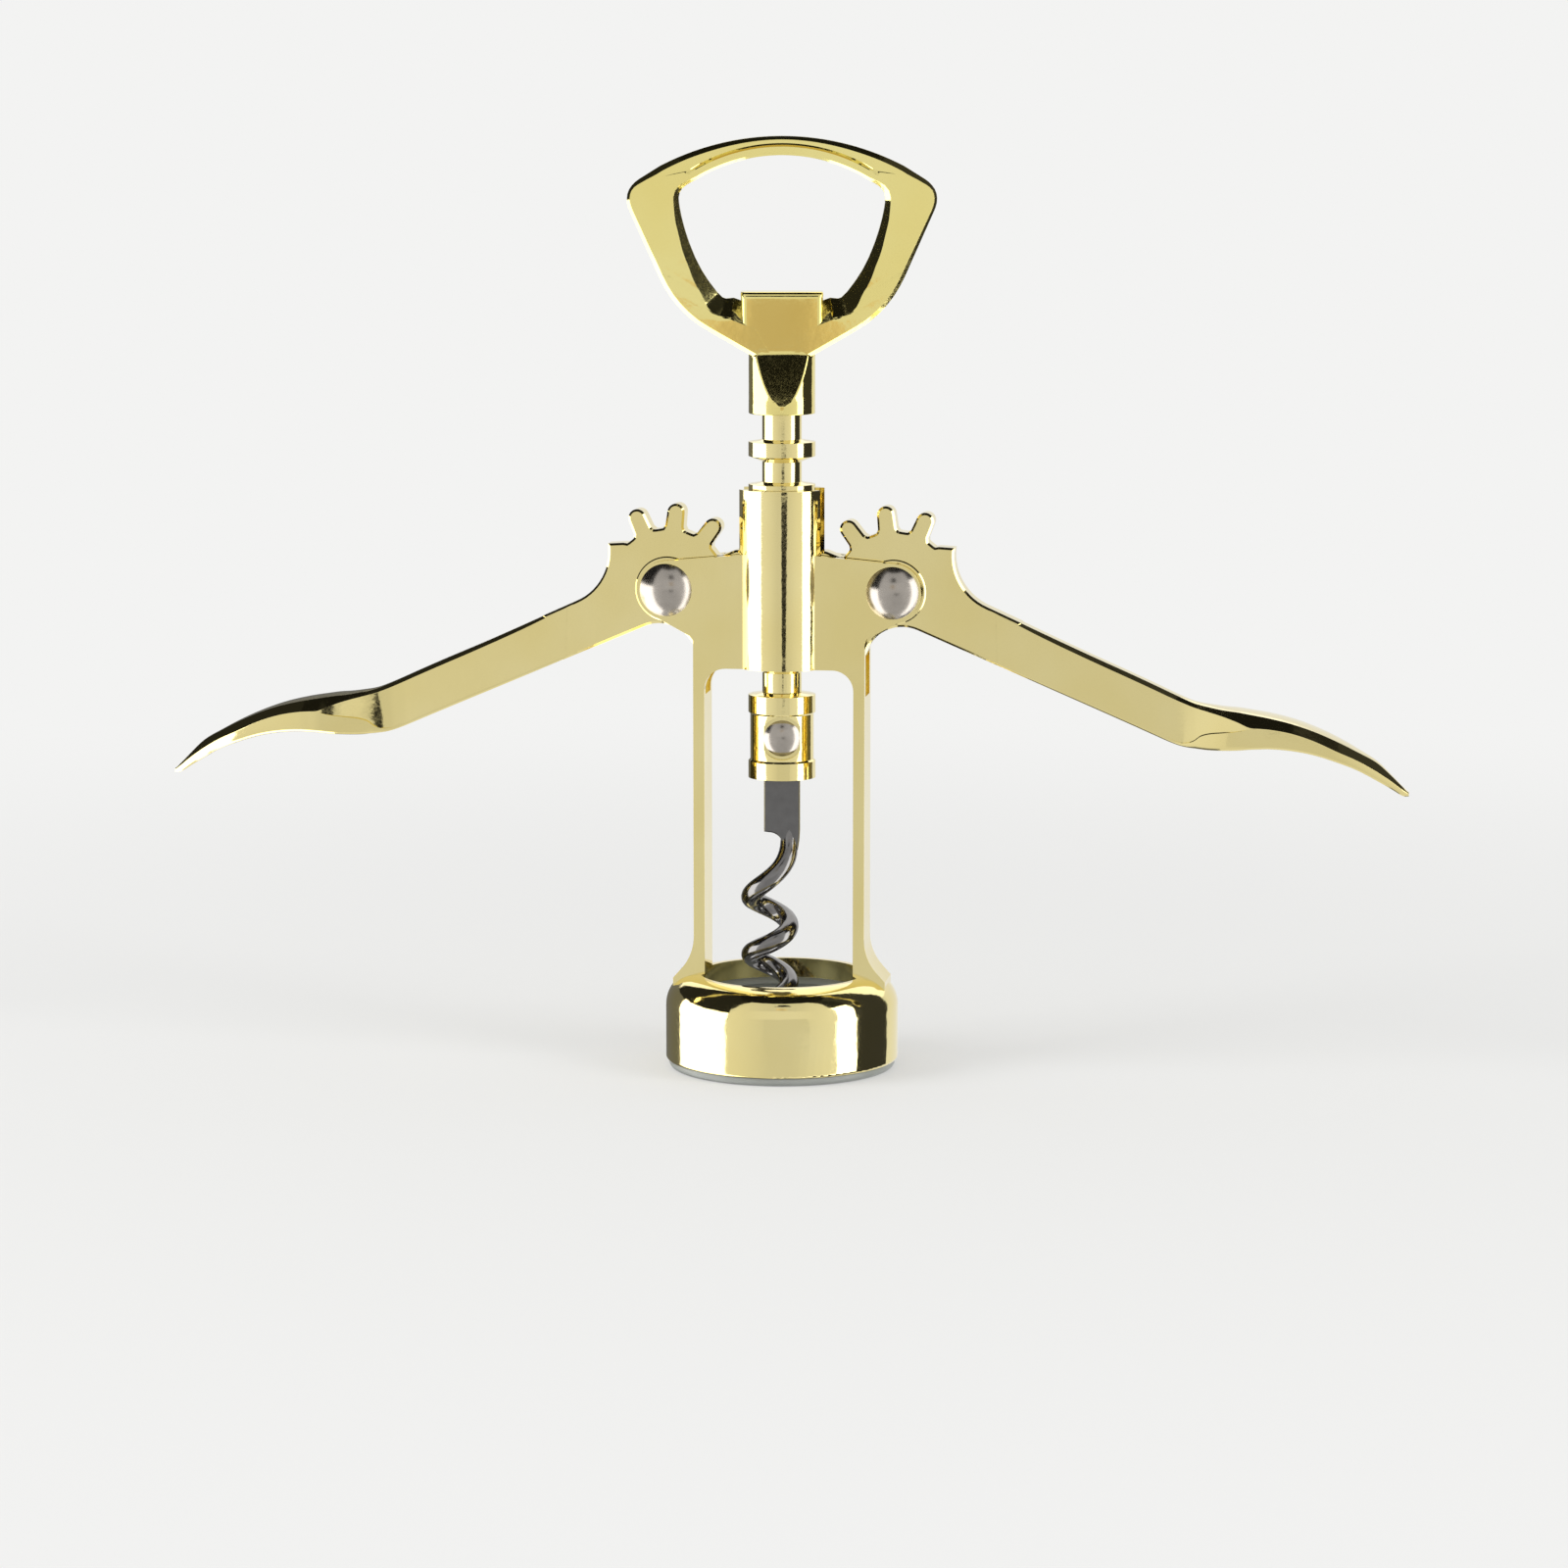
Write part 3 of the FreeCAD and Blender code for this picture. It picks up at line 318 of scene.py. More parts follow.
def rest_section(x, half, low, crease, ledge, rim_half, rim, flank_half, flank, ridge):
    """One upright section, as a ring: from the middle of the underside up the front, and down the back."""
    ledge = max(0.0, ledge)
    corner = min(CORNER, half * MOST_OF_HALF, (crease - low) * MOST_OF_WALL)
    flat = half - corner
    front = [(0.0, low + HOLLOW * min(1.0, half / FULL_HALF))]
    front += [(-flat / 2, low + HOLLOW_HALFWAY), (-flat, low)]
    for i in range(1, 4):
        turn = math.radians(30 * i)
        front.append((-flat - corner * math.sin(turn), low + corner - corner * math.cos(turn)))
    front += [(-half, (low + corner + crease) / 2), (-half, crease)]
    start = half - max(ledge, APART)
    front += [(-start, crease + LEDGE_RISE * ledge + APART), (-(start + rim_half) / 2, (crease + rim) / 2)]
    front.append((-rim_half, rim))
    for i in (1, 2):
        front.append((-(rim_half + (flank_half - rim_half) * i / 2), rim + (flank - rim) * i / 2))
    for i in (1, 2, 3, 4):
        away = 1 - i / 4
        front.append((-flank_half * away, ridge - (ridge - flank) * away * away))
    back = [(-y, z) for y, z in front[1:-1]][::-1]
    return [(x, y, z) for y, z in front + back]


def between(rows, steps):
    """The same sections with more between them, on a smooth run through each column."""
    out = []
    for j in range(len(rows) - 1):
        p0, p1, p2, p3 = (rows[max(0, min(len(rows) - 1, j + k))] for k in (-1, 0, 1, 2))
        for i in range(steps):
            t = i / steps
            span = p2[0] - p1[0]
            before = (p1[0] - p0[0]) or span
            after = (p3[0] - p2[0]) or span
            row = [p1[0] + span * t]
            for a, b, c, d in zip(p0[1:], p1[1:], p2[1:], p3[1:]):
                slope1 = 0.5 * ((b - a) / before + (c - b) / span) * span
                slope2 = 0.5 * ((c - b) / span + (d - c) / after) * span
                row.append(
                    (2 * t ** 3 - 3 * t ** 2 + 1) * b + (t ** 3 - 2 * t ** 2 + t) * slope1
                    + (-2 * t ** 3 + 3 * t ** 2) * c + (t ** 3 - t ** 2) * slope2)
            out.append(tuple(row))
    out.append(rows[-1])
    return out


to_pivot = Matrix.Translation((PIVOT[0] * MM, 0, PIVOT[1] * MM))
for side, body in ((1, "lever_right"), (-1, "lever_left")):
    arm = plate(body + "_arm", arm_rim, half=2.0, edge=0.35)
    arm.data.transform(Matrix.Rotation(DROP, 4, "Y"))
    arm.data.transform(to_pivot)
    rest = loft(body + "_rest", [rest_section(*row) for row in between(RESTS, 4)])
    soften(rest, width=0.22, angle=22)
    boss = plate(body + "_boss", boss_rim, half=2.4, edge=0.2)
    boss.data.transform(to_pivot)
    for piece in (arm, rest, boss):
        if side < 0:
            piece.data.transform(Matrix.Scale(-1, 4, (1, 0, 0)))
            piece.data.flip_normals()
        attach(piece, body)
    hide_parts(body)

# --- the rivets ---------------------------------------------------------------------------------
# Two solid steel rivets through the cheeks carry the levers, and a small one through the holder pins the
# worm. They are nickel plated and set with domed heads.

# Nickel plated steel: the eye gets a warm grey metal, with small duller marks where it was hammered, with
# this spacing in millimetres.
MARKS = 1.11
nickel, tree = material("nickel_plated_steel")
place = add(tree, "ShaderNodeTexCoord", {})
wear = add(tree, "ShaderNodeTexNoise", {}, Vector=place.outputs["Object"], Scale=spaced(MARKS), Detail=3.0)
steel_tone = add(tree, "ShaderNodeValToRGB", {}, Fac=wear.outputs["Fac"])
steel_tone.color_ramp.elements[0].color = linear("#a8a198")
steel_tone.color_ramp.elements[1].color = linear("#bab3aa")
steel_rough = add(tree, "ShaderNodeMapRange", {}, Value=wear.outputs["Fac"], To_Min=0.14, To_Max=0.3)
nickel_skin = add(
    tree, "ShaderNodeBsdfPrincipled", {},
    Base_Color=steel_tone.outputs["Color"], Metallic=1.0, Roughness=steel_rough.outputs["Result"])
add(tree, "ShaderNodeOutputMaterial", {}, Surface=nickel_skin.outputs[0])
nodes["pivot_rivets"].data.materials[0] = nickel
nodes["worm_rivet"].data.materials[0] = nickel

# --- the ringed spindle and the worm holder -----------------------------------------------------
# Both are turned from brass and gilded. The levers' teeth work in the gaps between the spindle's rings, and
# the holder below it takes the worm's tang.

for name in ("spindle", "worm_holder"):
    nodes[name].data.materials[0] = gilt
    nodes[name].modifiers.new("weld", "WELD").merge_threshold = WELD_REACH
    soften(nodes[name], width=0.18, angle=28)

# --- the worm -----------------------------------------------------------------------------------
# Hardened steel wire, wound to a helix, pointed and nickel plated.
# Its top is flattened to a tang, which is pinned in the holder by the small rivet.

# Nickel plated wire: the eye gets a dark grey mirror, in duller and brighter stretches from drawing it, with
# this spacing in millimetres.
STRETCHES = 1.43
worm_steel, tree = material("nickel_plated_wire")
place = add(tree, "ShaderNodeTexCoord", {})
draw = add(
    tree, "ShaderNodeTexNoise", {}, Vector=place.outputs["Object"], Scale=spaced(STRETCHES), Detail=3.0)
wire_tone = add(tree, "ShaderNodeValToRGB", {}, Fac=draw.outputs["Fac"])
wire_tone.color_ramp.elements[0].color = linear("#72706e")
wire_tone.color_ramp.elements[1].color = linear("#8d8b8a")
wire_rough = add(tree, "ShaderNodeMapRange", {}, Value=draw.outputs["Fac"], To_Min=0.1, To_Max=0.22)
wire = add(
    tree, "ShaderNodeBsdfPrincipled", {},
    Base_Color=wire_tone.outputs["Color"], Metallic=1.0, Roughness=wire_rough.outputs["Result"])
add(tree, "ShaderNodeOutputMaterial", {}, Surface=wire.outputs[0])


def recoat(base, name, first, last):
    """A copy of a material with other colours at the two ends of its ramp."""
    made = base.copy()
    made.name = name
    ramp = next(step for step in made.node_tree.nodes if step.type == "VALTORGB").color_ramp
    ramp.elements[0].color = linear(first)
    ramp.elements[1].color = linear(last)
    return made


# The flattened tang keeps the wire's mill skin under a thin plating: the eye gets a darker and duller grey.
tang_steel = recoat(worm_steel, "nickel_plated_tang", "#6b6a69", "#7c7b7a")
tang_rough = next(step for step in tang_steel.node_tree.nodes if step.type == "MAP_RANGE")
tang_rough.inputs["To Min"].default_value = 0.24
tang_rough.inputs["To Max"].default_value = 0.4

# How far the worm and the handle stand turned about the axis
TURNED = math.radians(8.0)


def stand(piece):
    """Turns a piece of the screw to where it stands about the axis."""
    piece.data.transform(Matrix.Rotation(TURNED, 4, "Z"))


# The tang's half width, and its top inside the holder. Its foot is cut away by an arc at the left, given by
# centre and radii, and narrows to a tip at the right, where the wire leaves it.
TANG_HALF, TANG_TOP = 2.9, 56.1
ARC_CENTRE, ARC_WIDE, ARC_TALL = (-2.2, 36.0), 2.35, 2.25
tang_rim = [(-TANG_HALF, TANG_TOP), (-TANG_HALF, 38.35)]
for i in range(9):
    turn = math.radians(90 * i / 8)
    tang_rim.append((ARC_CENTRE[0] + ARC_WIDE * math.sin(turn), ARC_CENTRE[1] + ARC_TALL * math.cos(turn)))
tang_rim += [(0.5, 34.6), (1.9, 34.2), (2.55, 35.4), (2.8, 37.0), (TANG_HALF, 38.6), (TANG_HALF, TANG_TOP)]
tang = plate("worm_tang", tang_rim[::-1], half=1.2, edge=0.18)
tang.data.materials[0] = tang_steel
stand(tang)

# The wire's radius, the share of it at the helix's top and the drop after which it is full. The helix's axis
# and radius, its top, the drop of its first half turn and how that starts, the drop of each whole turn after
# it, and the height where the tip starts.
WIRE, SLIM, FULL_AFTER = 1.55, 0.86, 3.0
COIL_AXIS, COIL = -1.95, 3.1
LEAD_TOP, LEAD, LEAD_CURVE, PITCH_DOWN, WIRE_END = 37.33, 9.8, 0.625, 9.4, 4.0
WIRE_STEPS = 110
# The wire's two ends, by shares of its radius: heights inside the tang, and distances along the tip
INSIDE_TANG = ((39.6, 0.62), (38.6, 0.78))
TIP = ((0.8, 0.9), (1.6, 0.74), (2.4, 0.54), (3.2, 0.33), (3.9, 0.13))
helix = bpy.data.curves.new("worm_wire", "CURVE")
helix.dimensions = "3D"
helix.bevel_depth = WIRE * MM
helix.bevel_resolution = 8
helix.use_fill_caps = True
coils = (LEAD_TOP - LEAD - WIRE_END) / PITCH_DOWN + 0.5
way = [(COIL_AXIS + COIL, 0.0, height, thick) for height, thick in INSIDE_TANG]
for step in range(WIRE_STEPS + 1):
    turns = coils * step / WIRE_STEPS
    drop = LEAD * (2 * turns) ** LEAD_CURVE if turns < 0.5 else LEAD + PITCH_DOWN * (turns - 0.5)
    angle = 2 * math.pi * turns
    thick = min(1.0, SLIM + (1 - SLIM) * drop / FULL_AFTER)
    way.append((COIL_AXIS + COIL * math.cos(angle), -COIL * math.sin(angle), LEAD_TOP - drop, thick))
wire_end = Vector(way[-1][:3])
ahead = (wire_end - Vector(way[-2][:3])).normalized()
for reach, thick in TIP:
    way.append((*(wire_end + ahead * reach), thick))
spline = helix.splines.new("POLY")
spline.points.add(len(way) - 1)
for point, (x, y, z, thick) in zip(spline.points, way):
    point.co = (x * MM, y * MM, z * MM, 1)
    point.radius = thick
spline.use_smooth = True
wound = bpy.data.objects.new("worm_wire", helix)
wire_mesh = bpy.data.meshes.new_from_object(wound)
bpy.data.objects.remove(wound)
wire_piece = finish_mesh("worm_wire", wire_mesh, worm_steel, sharp=None)
stand(wire_piece)
for piece in (tang, wire_piece):
    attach(piece, "screw")
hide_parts("worm")

# --- the handle ---------------------------------------------------------------------------------
# One zinc casting: a broad ring to turn the worm by, a tongue that lifts crown caps, and the socket below it.
# The ring's faces are bevelled outside and in, and two pockets beside the tongue give a cap's edge room.

# The height of the casting's foot. Above it, in its own plane, the corners of the ring's right half: where it
# flares out of the socket, its lower and its widest corner, and inside it the brow's foot and corner.
# The crown and the brow are arcs over the axis: height of the centre, radius, and angle where they start.
FOOT = 105.48
FLARE, LOWER_CORNER, WIDEST = (5.3, 9.6), (17.0, 16.3), (25.4, 35.2)
BROW_FOOT, BROW_CORNER = (16.2, 32.9), (16.45, 35.3)
CROWN_HEIGHT, CROWN_RADIUS, CROWN_START = 1.99, 41.81, 57.0
BROW_HEIGHT, BROW_RADIUS, BROW_START = 14.65, 26.15, 56.5


def run(points, count):
    """That many points at even distances along a line through points."""
    reach = [0.0]
    for a, b in zip(points, points[1:]):
        reach.append(reach[-1] + math.dist(a, b))
    out = []
    j = 0
    for i in range(count):
        want = reach[-1] * i / (count - 1)
        while j < len(points) - 2 and reach[j + 1] < want:
            j += 1
        share = (want - reach[j]) / (reach[j + 1] - reach[j])
        out.append(tuple(a + (b - a) * share for a, b in zip(points[j], points[j + 1])))
    return out


def bend(first, corner, last, reach, steps=10):
    """A corner rounded from reach before it to reach after it."""
    def toward(a, b, far):
        span = math.dist(a, b)
        return (a[0] + (b[0] - a[0]) * far / span, a[1] + (b[1] - a[1]) * far / span)
    start, end = toward(corner, first, reach), toward(corner, last, reach)
    return [
        tuple((1 - t) ** 2 * a + 2 * t * (1 - t) * c + t * t * b for a, c, b in zip(start, corner, end))
        for t in (i / steps for i in range(steps + 1))]


# The widest corner and the brow's corner are each rounded towards an early point of their arc, which then
# goes on from the next point.
crown = bow((0, CROWN_HEIGHT), CROWN_RADIUS, CROWN_START, 90.0, 24)
outer_low = [(1.0, 7.2), FLARE] + bend(FLARE, LOWER_CORNER, WIDEST, reach=6.0)
outer_side = [outer_low[-1]] + bend(LOWER_CORNER, WIDEST, crown[3], reach=3.4)
outer_top = [outer_side[-1]] + crown[4:]
brow = bow((0, BROW_HEIGHT), BROW_RADIUS, BROW_START, 90.0, 20)
inner_low = [(3.0, 16.6), (7.6, 18.35), (9.2, 18.2), (10.3, 19.3)]
inner_side = [inner_low[-1], (11.6, 21.0), (12.75, 22.8), (13.75, 24.8), (14.6, 26.9), (15.3, 29.0)]
inner_side += [(15.85, 31.1), BROW_FOOT] + bend(BROW_FOOT, BROW_CORNER, brow[2], reach=1.6)
inner_top = [inner_side[-1]] + brow[3:]
# Each stretch of the outer line goes with one of the inner line, and both get as many points.
outer, inner = [], []
stretches = ((outer_low, inner_low, 14), (outer_side, inner_side, 24), (outer_top, inner_top, 26))
for far, near, count in stretches:
    outer += run(far, count)[:-1]
    inner += run(near, count)[:-1]
outer.append(crown[-1])
inner.append(brow[-1])
# The ring from the tongue to the top: share of the way round, half thickness, width and depth of the outer
# bevel, the same of the inner one, and depth of the groove
FORM = [
    (0.00, 3.16, 0.60, 0.50, 3.30, 2.75, 0.00),
    (0.10, 3.14, 0.60, 0.50, 3.30, 2.75, 0.00),
    (0.18, 2.95, 0.60, 0.50, 2.80, 2.40, 0.00),
    (0.25, 2.70, 0.60, 0.50, 2.05, 1.91, 0.00),
    (0.35, 2.60, 0.50, 0.45, 1.50, 1.40, 0.00),
    (0.45, 2.60, 0.45, 0.45, 1.15, 1.07, 0.00),
    (0.54, 2.60, 0.45, 0.45, 0.85, 0.79, 0.00),
    (0.60, 2.60, 0.70, 0.70, 0.55, 0.51, 0.00),
    (0.64, 2.60, 0.85, 0.85, 0.40, 0.37, 0.22),
    (0.75, 2.60, 0.80, 0.80, 0.35, 0.33, 0.34),
    (1.00, 2.60, 0.55, 0.55, 0.35, 0.33, 0.34),
]
# How far from the inner side the groove starts, is deepest and ends, and the share of its depth that is left
# from there on. Where there is no groove, the three points lie on the flat face at these shares of its width.
GROOVE, GROOVE_LEFT, FACE_POINTS = (1.9, 1.62, 1.34), 0.1, (0.5, 0.7, 0.85)


def form_at(share):
    """The ring's thickness, bevels and groove at a share of the way from the tongue to the top."""
    a, b = next(pair for pair in zip(FORM, FORM[1:]) if share <= pair[1][0])
    t = (share - a[0]) / (b[0] - a[0])
    t = t * t * (3 - 2 * t)
    return [p + (q - p) * t for p, q in zip(a[1:], b[1:])]


def inward(line, index, turn):
    """The direction square to a line at one of its points, to the side that turn gives."""
    before, after = line[max(0, index - 1)], line[min(len(line) - 1, index + 1)]
    span = math.dist(before, after)
    return (-turn * (after[1] - before[1]) / span, turn * (after[0] - before[0]) / span)


def across_ring(index):
    """One section of the ring: from its outer side over the front to its inner side and back."""
    half, out_wide, out_deep, in_wide, in_deep, groove = form_at(index / (len(outer) - 1))
    far, near = outer[index], inner[index]
    from_out, from_in = inward(outer, index, 1), inward(inner, index, -1)
    edge = (far[0] + from_out[0] * out_wide, far[1] + from_out[1] * out_wide)
    lip = (near[0] + from_in[0] * in_wide, near[1] + from_in[1] * in_wide)
    if groove:
        marks = [(near[0] + from_in[0] * d, near[1] + from_in[1] * d) for d in GROOVE]
    else:
        marks = [(edge[0] + (lip[0] - edge[0]) * t, edge[1] + (lip[1] - edge[1]) * t) for t in FACE_POINTS]
    face = ((edge[0] * 2 + marks[0][0]) / 3, (edge[1] * 2 + marks[0][1]) / 3)
    ledge = half - GROOVE_LEFT * groove
    line = [
        (far, half - out_deep), (edge, half), (face, half), (marks[0], half),
        (marks[1], half - groove), (marks[2], ledge), (lip, ledge), (near, half - in_deep)]
    return [(x, -y, FOOT + h) for (x, h), y in line] + [(x, y, FOOT + h) for (x, h), y in line[::-1]]


right_half = [across_ring(i) for i in range(len(outer))]
left_half = [[(-x, y, z) for x, y, z in ring] for ring in right_half[:-1]][::-1]
ring = loft("handle_ring", right_half + left_half)
soften(ring, width=0.16, angle=18)

# Level sections of the socket and tongue: height above the foot and half depth, and for the tongue's oblong
# also its half width and corners. The socket's are a circle of one radius, cut off front and back.
SOCKET_RADIUS = 5.3
SOCKET = [
    (0.0, 5.29), (0.35, 5.29), (1.3, 5.29), (1.38, 5.28), (1.46, 5.26), (1.7, 5.2), (2.1, 5.1), (2.5, 5.0),
    (3.3, 4.8), (4.9, 4.4), (6.5, 4.0), (8.1, 3.6), (8.8, 3.42), (9.3, 3.30), (9.86, 3.15, 5.2, 1.8),
    (10.6, 3.15, 5.4, 1.2), (11.6, 3.15, 6.0, 1.0), (12.2, 3.15, 6.45, 0.9), (15.6, 3.15, 6.5, 0.9),
    (18.3, 3.13, 6.5, 0.9), (18.9, 3.0, 6.55, 0.8), (19.35, 2.6, 6.5, 0.6),
]


def socket_section(height, half_deep, half_wide=None, corner=None):
    """One level section of the socket and tongue, as a ring from the front's left end."""
    if corner is None:
        flat = math.sqrt(SOCKET_RADIUS ** 2 - half_deep ** 2)
        turn = math.degrees(math.atan2(half_deep, flat))
        side = bow((0, 0), SOCKET_RADIUS, -turn, turn, 12)
    else:
        flat = half_wide - corner
        side = bow((flat, -half_deep + corner), corner, -90, 0, 6)[:-1]
        side += [(half_wide, 0)] + bow((flat, half_deep - corner), corner, 0, 90, 6)[1:]
    points = [(-flat + 2 * flat * i / 8, -half_deep) for i in range(8)] + side[:-1]
    points += [(-x, -y) for x, y in points]
    return [(x, y, FOOT + height) for x, y in points]


socket = loft("handle_socket", [socket_section(*row) for row in SOCKET])
soften(socket, width=0.14, angle=28)
# The same plating, with a slightly deeper yellow painted in on this casting: a painted reflection of the
# warmer light that bounces between its faces.
gilt_with_painted_reflection = recoat(gilt, "gold_plated_zinc_handle_painted_reflection", "#f3e38f", "#f6e99a")
for piece in (ring, socket):
    piece.data.materials[0] = gilt_with_painted_reflection
    stand(piece)
    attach(piece, "screw")
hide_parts("handle")

# --- the studio ---------------------------------------------------------------------------------
# A pale round floor that sweeps up on all sides, two soft lamps, and soft boxes and flags that only
# reflections show. All but the floor is turned with the camera, to stand evenly on its two sides.

# The floor's inner ring, its flat part, the radius of its sweep and the top of its wall, in metres
INNER, FLAT, SWEEP, WALL_TOP = 0.7, 1.6, 0.8, 4.0
SWEEP_STEPS, ROUND = 12, 64
rows = [(INNER, 0.0), (FLAT, 0.0)]
for step in range(1, SWEEP_STEPS + 1):
    turn = math.radians(90 * step / SWEEP_STEPS)
    rows.append((FLAT + SWEEP * math.sin(turn), SWEEP - SWEEP * math.cos(turn)))
rows.append((FLAT + SWEEP, WALL_TOP))
points = [(0.0, 0.0, 0.0)]
for away, height in rows:
    for step in range(ROUND):
        turn = 2 * math.pi * step / ROUND
        points.append((away * math.cos(turn), away * math.sin(turn), height))
faces = [(0, 1 + i, 1 + (i + 1) % ROUND) for i in range(ROUND)]
for j in range(len(rows) - 1):
    low, high = 1 + j * ROUND, 1 + (j + 1) * ROUND
    for i in range(ROUND):
        k = (i + 1) % ROUND
        faces.append((low + i, high + i, high + k, low + k))
floor_mesh = bpy.data.meshes.new("floor")
floor_mesh.from_pydata(points, [], faces)
floor_mesh.shade_smooth()
floor = bpy.data.objects.new("floor", floor_mesh)
scene.collection.objects.link(floor)
floor.visible_glossy = False
# Matt paper: near the object it takes the shadow, and further off the eye gets an even pale ground.
paper, tree = material("seamless_paper")
where = add(tree, "ShaderNodeTexCoord", {})
reach = add(tree, "ShaderNodeVectorMath", {"operation": "LENGTH"}, i0=where.outputs["Object"])
even = add(
    tree, "ShaderNodeMapRange", {"interpolation_type": "SMOOTHSTEP"},
    Value=reach.outputs["Value"], From_Min=0.1, From_Max=0.45, To_Min=0.4, To_Max=1.0)
seen = add(tree, "ShaderNodeBsdfDiffuse", {}, Color=linear("#cfcfce"))
glow = add(tree, "ShaderNodeEmission", {}, Color=linear("#f3f3f2"), Strength=1.0)
share = add(
    tree, "ShaderNodeMixShader", {}, Fac=even.outputs["Result"], i1=seen.outputs[0], i2=glow.outputs[0])
add(tree, "ShaderNodeOutputMaterial", {}, Surface=share.outputs[0])
floor_mesh.materials.append(paper)

world = bpy.data.worlds.new("studio")
world.use_nodes = True
scene.world = world
world.node_tree.nodes.clear()
air = add(world.node_tree, "ShaderNodeBackground", {}, Color=linear("#eaeaea"), Strength=1.0)
add(world.node_tree, "ShaderNodeOutputWorld", {}, Surface=air.outputs[0])

# How far the camera's side is turned from the front, and the height of the object's middle in metres
VIEW_TURN = math.radians(7.4)
MIDDLE = 0.07


def hide_but_from_metal(stand_in, level, side_level=None, spread=(0.25, 1.0), tint="#ffffff"):
    """Gives a card its level, or two from its middle to its sides, and shows it only in reflections."""
    cloth, tree = material(stand_in.name)
    glow = add(tree, "ShaderNodeEmission", {}, Color=linear(tint), Strength=level)
    if side_level:
        place = add(tree, "ShaderNodeTexCoord", {})
        aside = add(
            tree, "ShaderNodeVectorMath", {"operation": "DOT_PRODUCT"},
            i0=place.outputs["Object"], i1=(math.cos(VIEW_TURN), math.sin(VIEW_TURN), 0.0))
        off = add(tree, "ShaderNodeMath", {"operation": "ABSOLUTE"}, i0=aside.outputs["Value"])
        strength = add(
            tree, "ShaderNodeMapRange", {}, Value=off.outputs[0],
            From_Min=spread[0], From_Max=spread[1], To_Min=level, To_Max=side_level)
        tree.links.new(strength.outputs["Result"], glow.inputs["Strength"])
    add(tree, "ShaderNodeOutputMaterial", {}, Surface=glow.outputs[0])
    stand_in.data.materials.append(cloth)
    stand_in.visible_camera = stand_in.visible_diffuse = False
    stand_in.visible_transmission = stand_in.visible_shadow = False


def card(name, azimuths, elevations, level, distance=1.3, side_level=None):
    """A curved card: azimuths from the camera's side towards its right, elevations from level, in degrees."""
    across, up = 16, 12
    corners = []
    for j in range(up + 1):
        elevation = math.radians(elevations[0] + (elevations[1] - elevations[0]) * j / up)
        away, height = distance * math.cos(elevation), MIDDLE + distance * math.sin(elevation)
        for i in range(across + 1):
            azimuth = math.radians(azimuths[0] + (azimuths[1] - azimuths[0]) * i / across) + VIEW_TURN
            corners.append((away * math.sin(azimuth), -away * math.cos(azimuth), height))
    row = across + 1
    quads = [
        (j * row + i, j * row + i + 1, (j + 1) * row + i + 1, (j + 1) * row + i)
        for j in range(up) for i in range(across)]
    mesh = bpy.data.meshes.new(name)
    mesh.from_pydata(corners, [], quads)
    made = bpy.data.objects.new(name, mesh)
    scene.collection.objects.link(made)
    hide_but_from_metal(made, level, side_level)


def sheet(name, corners, level, **how):
    """A flat card with its corners in metres, before it is turned with the camera."""
    mesh = bpy.data.meshes.new(name)
    mesh.from_pydata(corners, [], [(0, 1, 2, 3)])
    mesh.transform(Matrix.Rotation(VIEW_TURN, 4, "Z"))
    made = bpy.data.objects.new(name, mesh)
    scene.collection.objects.link(made)
    hide_but_from_metal(made, level, **how)


def upright(left, right, forward, bottom, top):
    """The corners of an upright oblong in front of the object."""
    corners = ((left, bottom), (right, bottom), (right, top), (left, top))
    return [(x, -forward, z) for x, z in corners]


# Levels of the flags. A level of 1 is white, and the soft boxes are brighter than that.
BLACK, DARK, DUSK, DIM = 0.01, 0.02, 0.04, 0.16
# Round the object: a pale panel that the flat front faces show, a soft box on each side, and flags past and
# over them
card("front_panel", (-55.5, 55.5), (-75, 66), 0.68, side_level=0.86)
card("softbox_left", (-118.5, -55.5), (-70, 9), 3.0, distance=0.32)
card("softbox_right", (55.5, 79.5), (-75, 35), 3.0)
card("flag_right", (79.5, 127.5), (-75, 66), DUSK)
card("flag_left", (-172.5, -118.5), (-75, 15), DIM)
card("flag_left_high", (-118.5, -55.5), (-6, 66), DARK)
# Nearer in front: a paler card for the handle's faces and a small warm one for its tongue
sheet("handle_panel", upright(-0.35, 0.35, 0.5, 0.075, 0.4), 0.8)
sheet(
    "pad_panel", upright(-0.014, 0.014, 0.12, 0.106, 0.128), 0.6,
    side_level=0.8, spread=(0.005, 0.013), tint="#ffebcf")
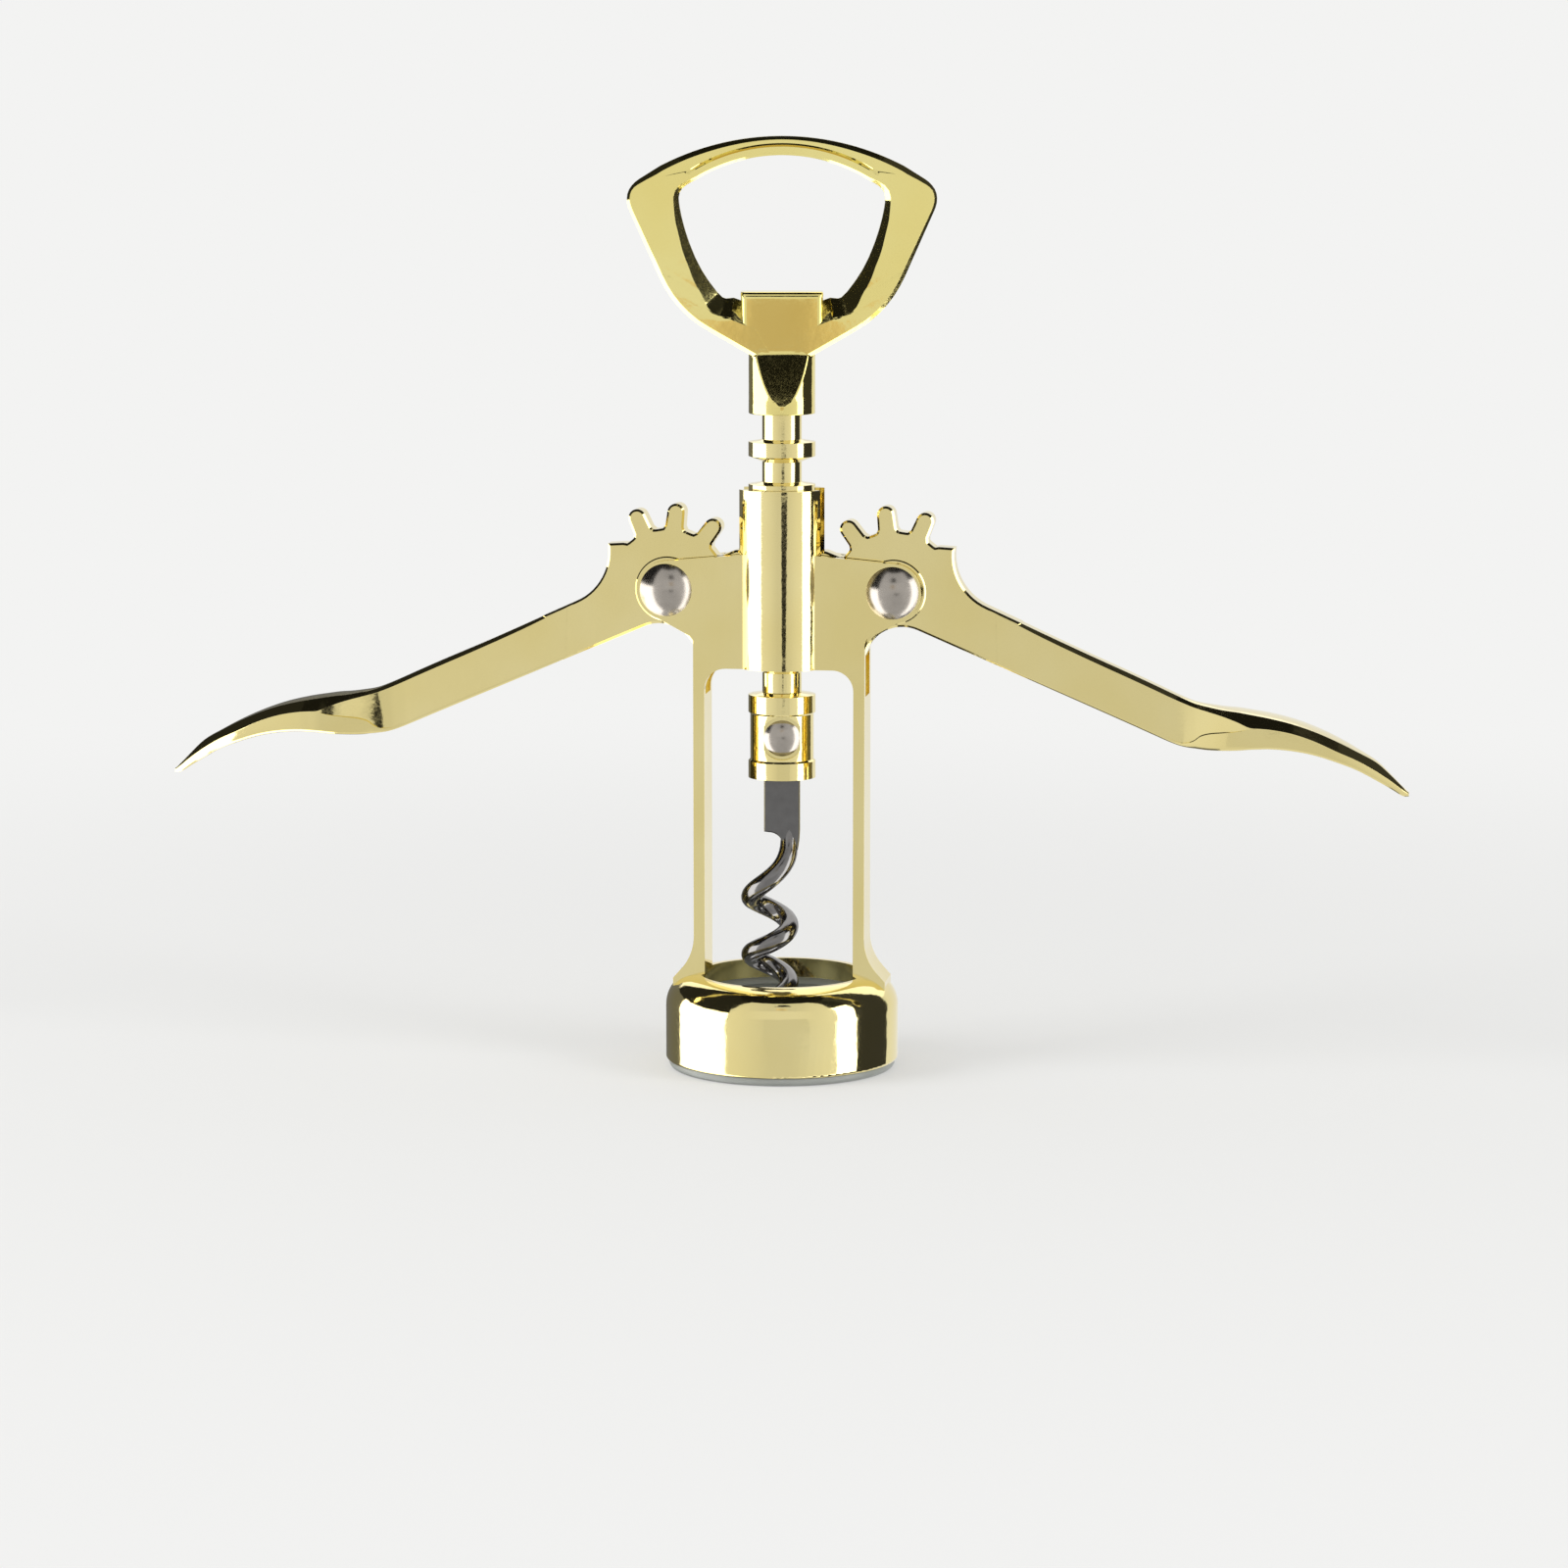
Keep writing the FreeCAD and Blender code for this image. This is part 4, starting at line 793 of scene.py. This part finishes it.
# Another flag over the right soft box, one high at the back, and pale panels for the faces seen from behind
card("flag_right_high", (55.5, 79.5), (35, 66), DARK)
card("flag_left_back", (-150.0, -118.5), (15, 76), DARK)
card("panel_behind", (127.5, 210.0), (14, 76), 1.3)
card("panel_behind_right", (127.5, 187.5), (-75, 14), 0.85)
# A dark roof, a dark slit and a dark card where a lens would show, and a pale panel low in front
sheet("flag_above", [(-1.9, -0.56, 1.27), (1.9, -0.56, 1.27), (1.9, 0.30, 1.27), (-1.9, 0.30, 1.27)], BLACK)
sheet(
    "slit_below_lens",
    [(0.01, -0.62, -0.02), (0.10, -0.62, -0.02), (0.165, -0.62, 0.045), (-0.02, -0.62, 0.045)], DARK)
sheet("panel_low", upright(-0.06, 0.1, 0.2, -0.03, 0.0375), 0.68)
sheet(
    "flag_lens",
    [(-0.018, -0.12, 0.156), (0.024, -0.12, 0.156), (0.02, -0.12, 0.205), (-0.014, -0.12, 0.205)], BLACK)

# The lamps' level distance, and for each its azimuth in degrees, height, power and size
LAMP_REACH = 1.1
LAMPS = (("lamp_left", -70, 0.7, 9.0, 0.7), ("lamp_right", 60, 0.6, 6.0, 0.5))
for name, azimuth, height, power, size in LAMPS:
    data = bpy.data.lights.new(name, "AREA")
    data.energy = power
    data.size = size
    lamp = bpy.data.objects.new(name, data)
    scene.collection.objects.link(lamp)
    turn = math.radians(azimuth) + VIEW_TURN
    lamp.location = (LAMP_REACH * math.sin(turn), -LAMP_REACH * math.cos(turn), height)
    lamp.rotation_euler = (Vector((0, 0, MIDDLE)) - lamp.location).to_track_quat("-Z", "Y").to_euler()
    lamp.visible_glossy = False

# --- the camera ---------------------------------------------------------------------------------
# It stands a little to the right of the front and above, and looks down at the object.

CAMERA_PLACE = (0.1116, -0.8, 0.16371)
PITCHED_DOWN, TURNED_LEFT = 8.297, 7.919
camera_data = bpy.data.cameras.new("camera")
camera = bpy.data.objects.new("camera", camera_data)
scene.collection.objects.link(camera)
scene.camera = camera
camera.location = CAMERA_PLACE
camera.rotation_euler = (math.radians(90 - PITCHED_DOWN), 0, math.radians(TURNED_LEFT))
camera_data.sensor_width = 36.0
camera_data.lens = 116.62
camera_data.clip_start = 0.01
camera_data.clip_end = 20.0

scene.view_settings.view_transform = "Standard"
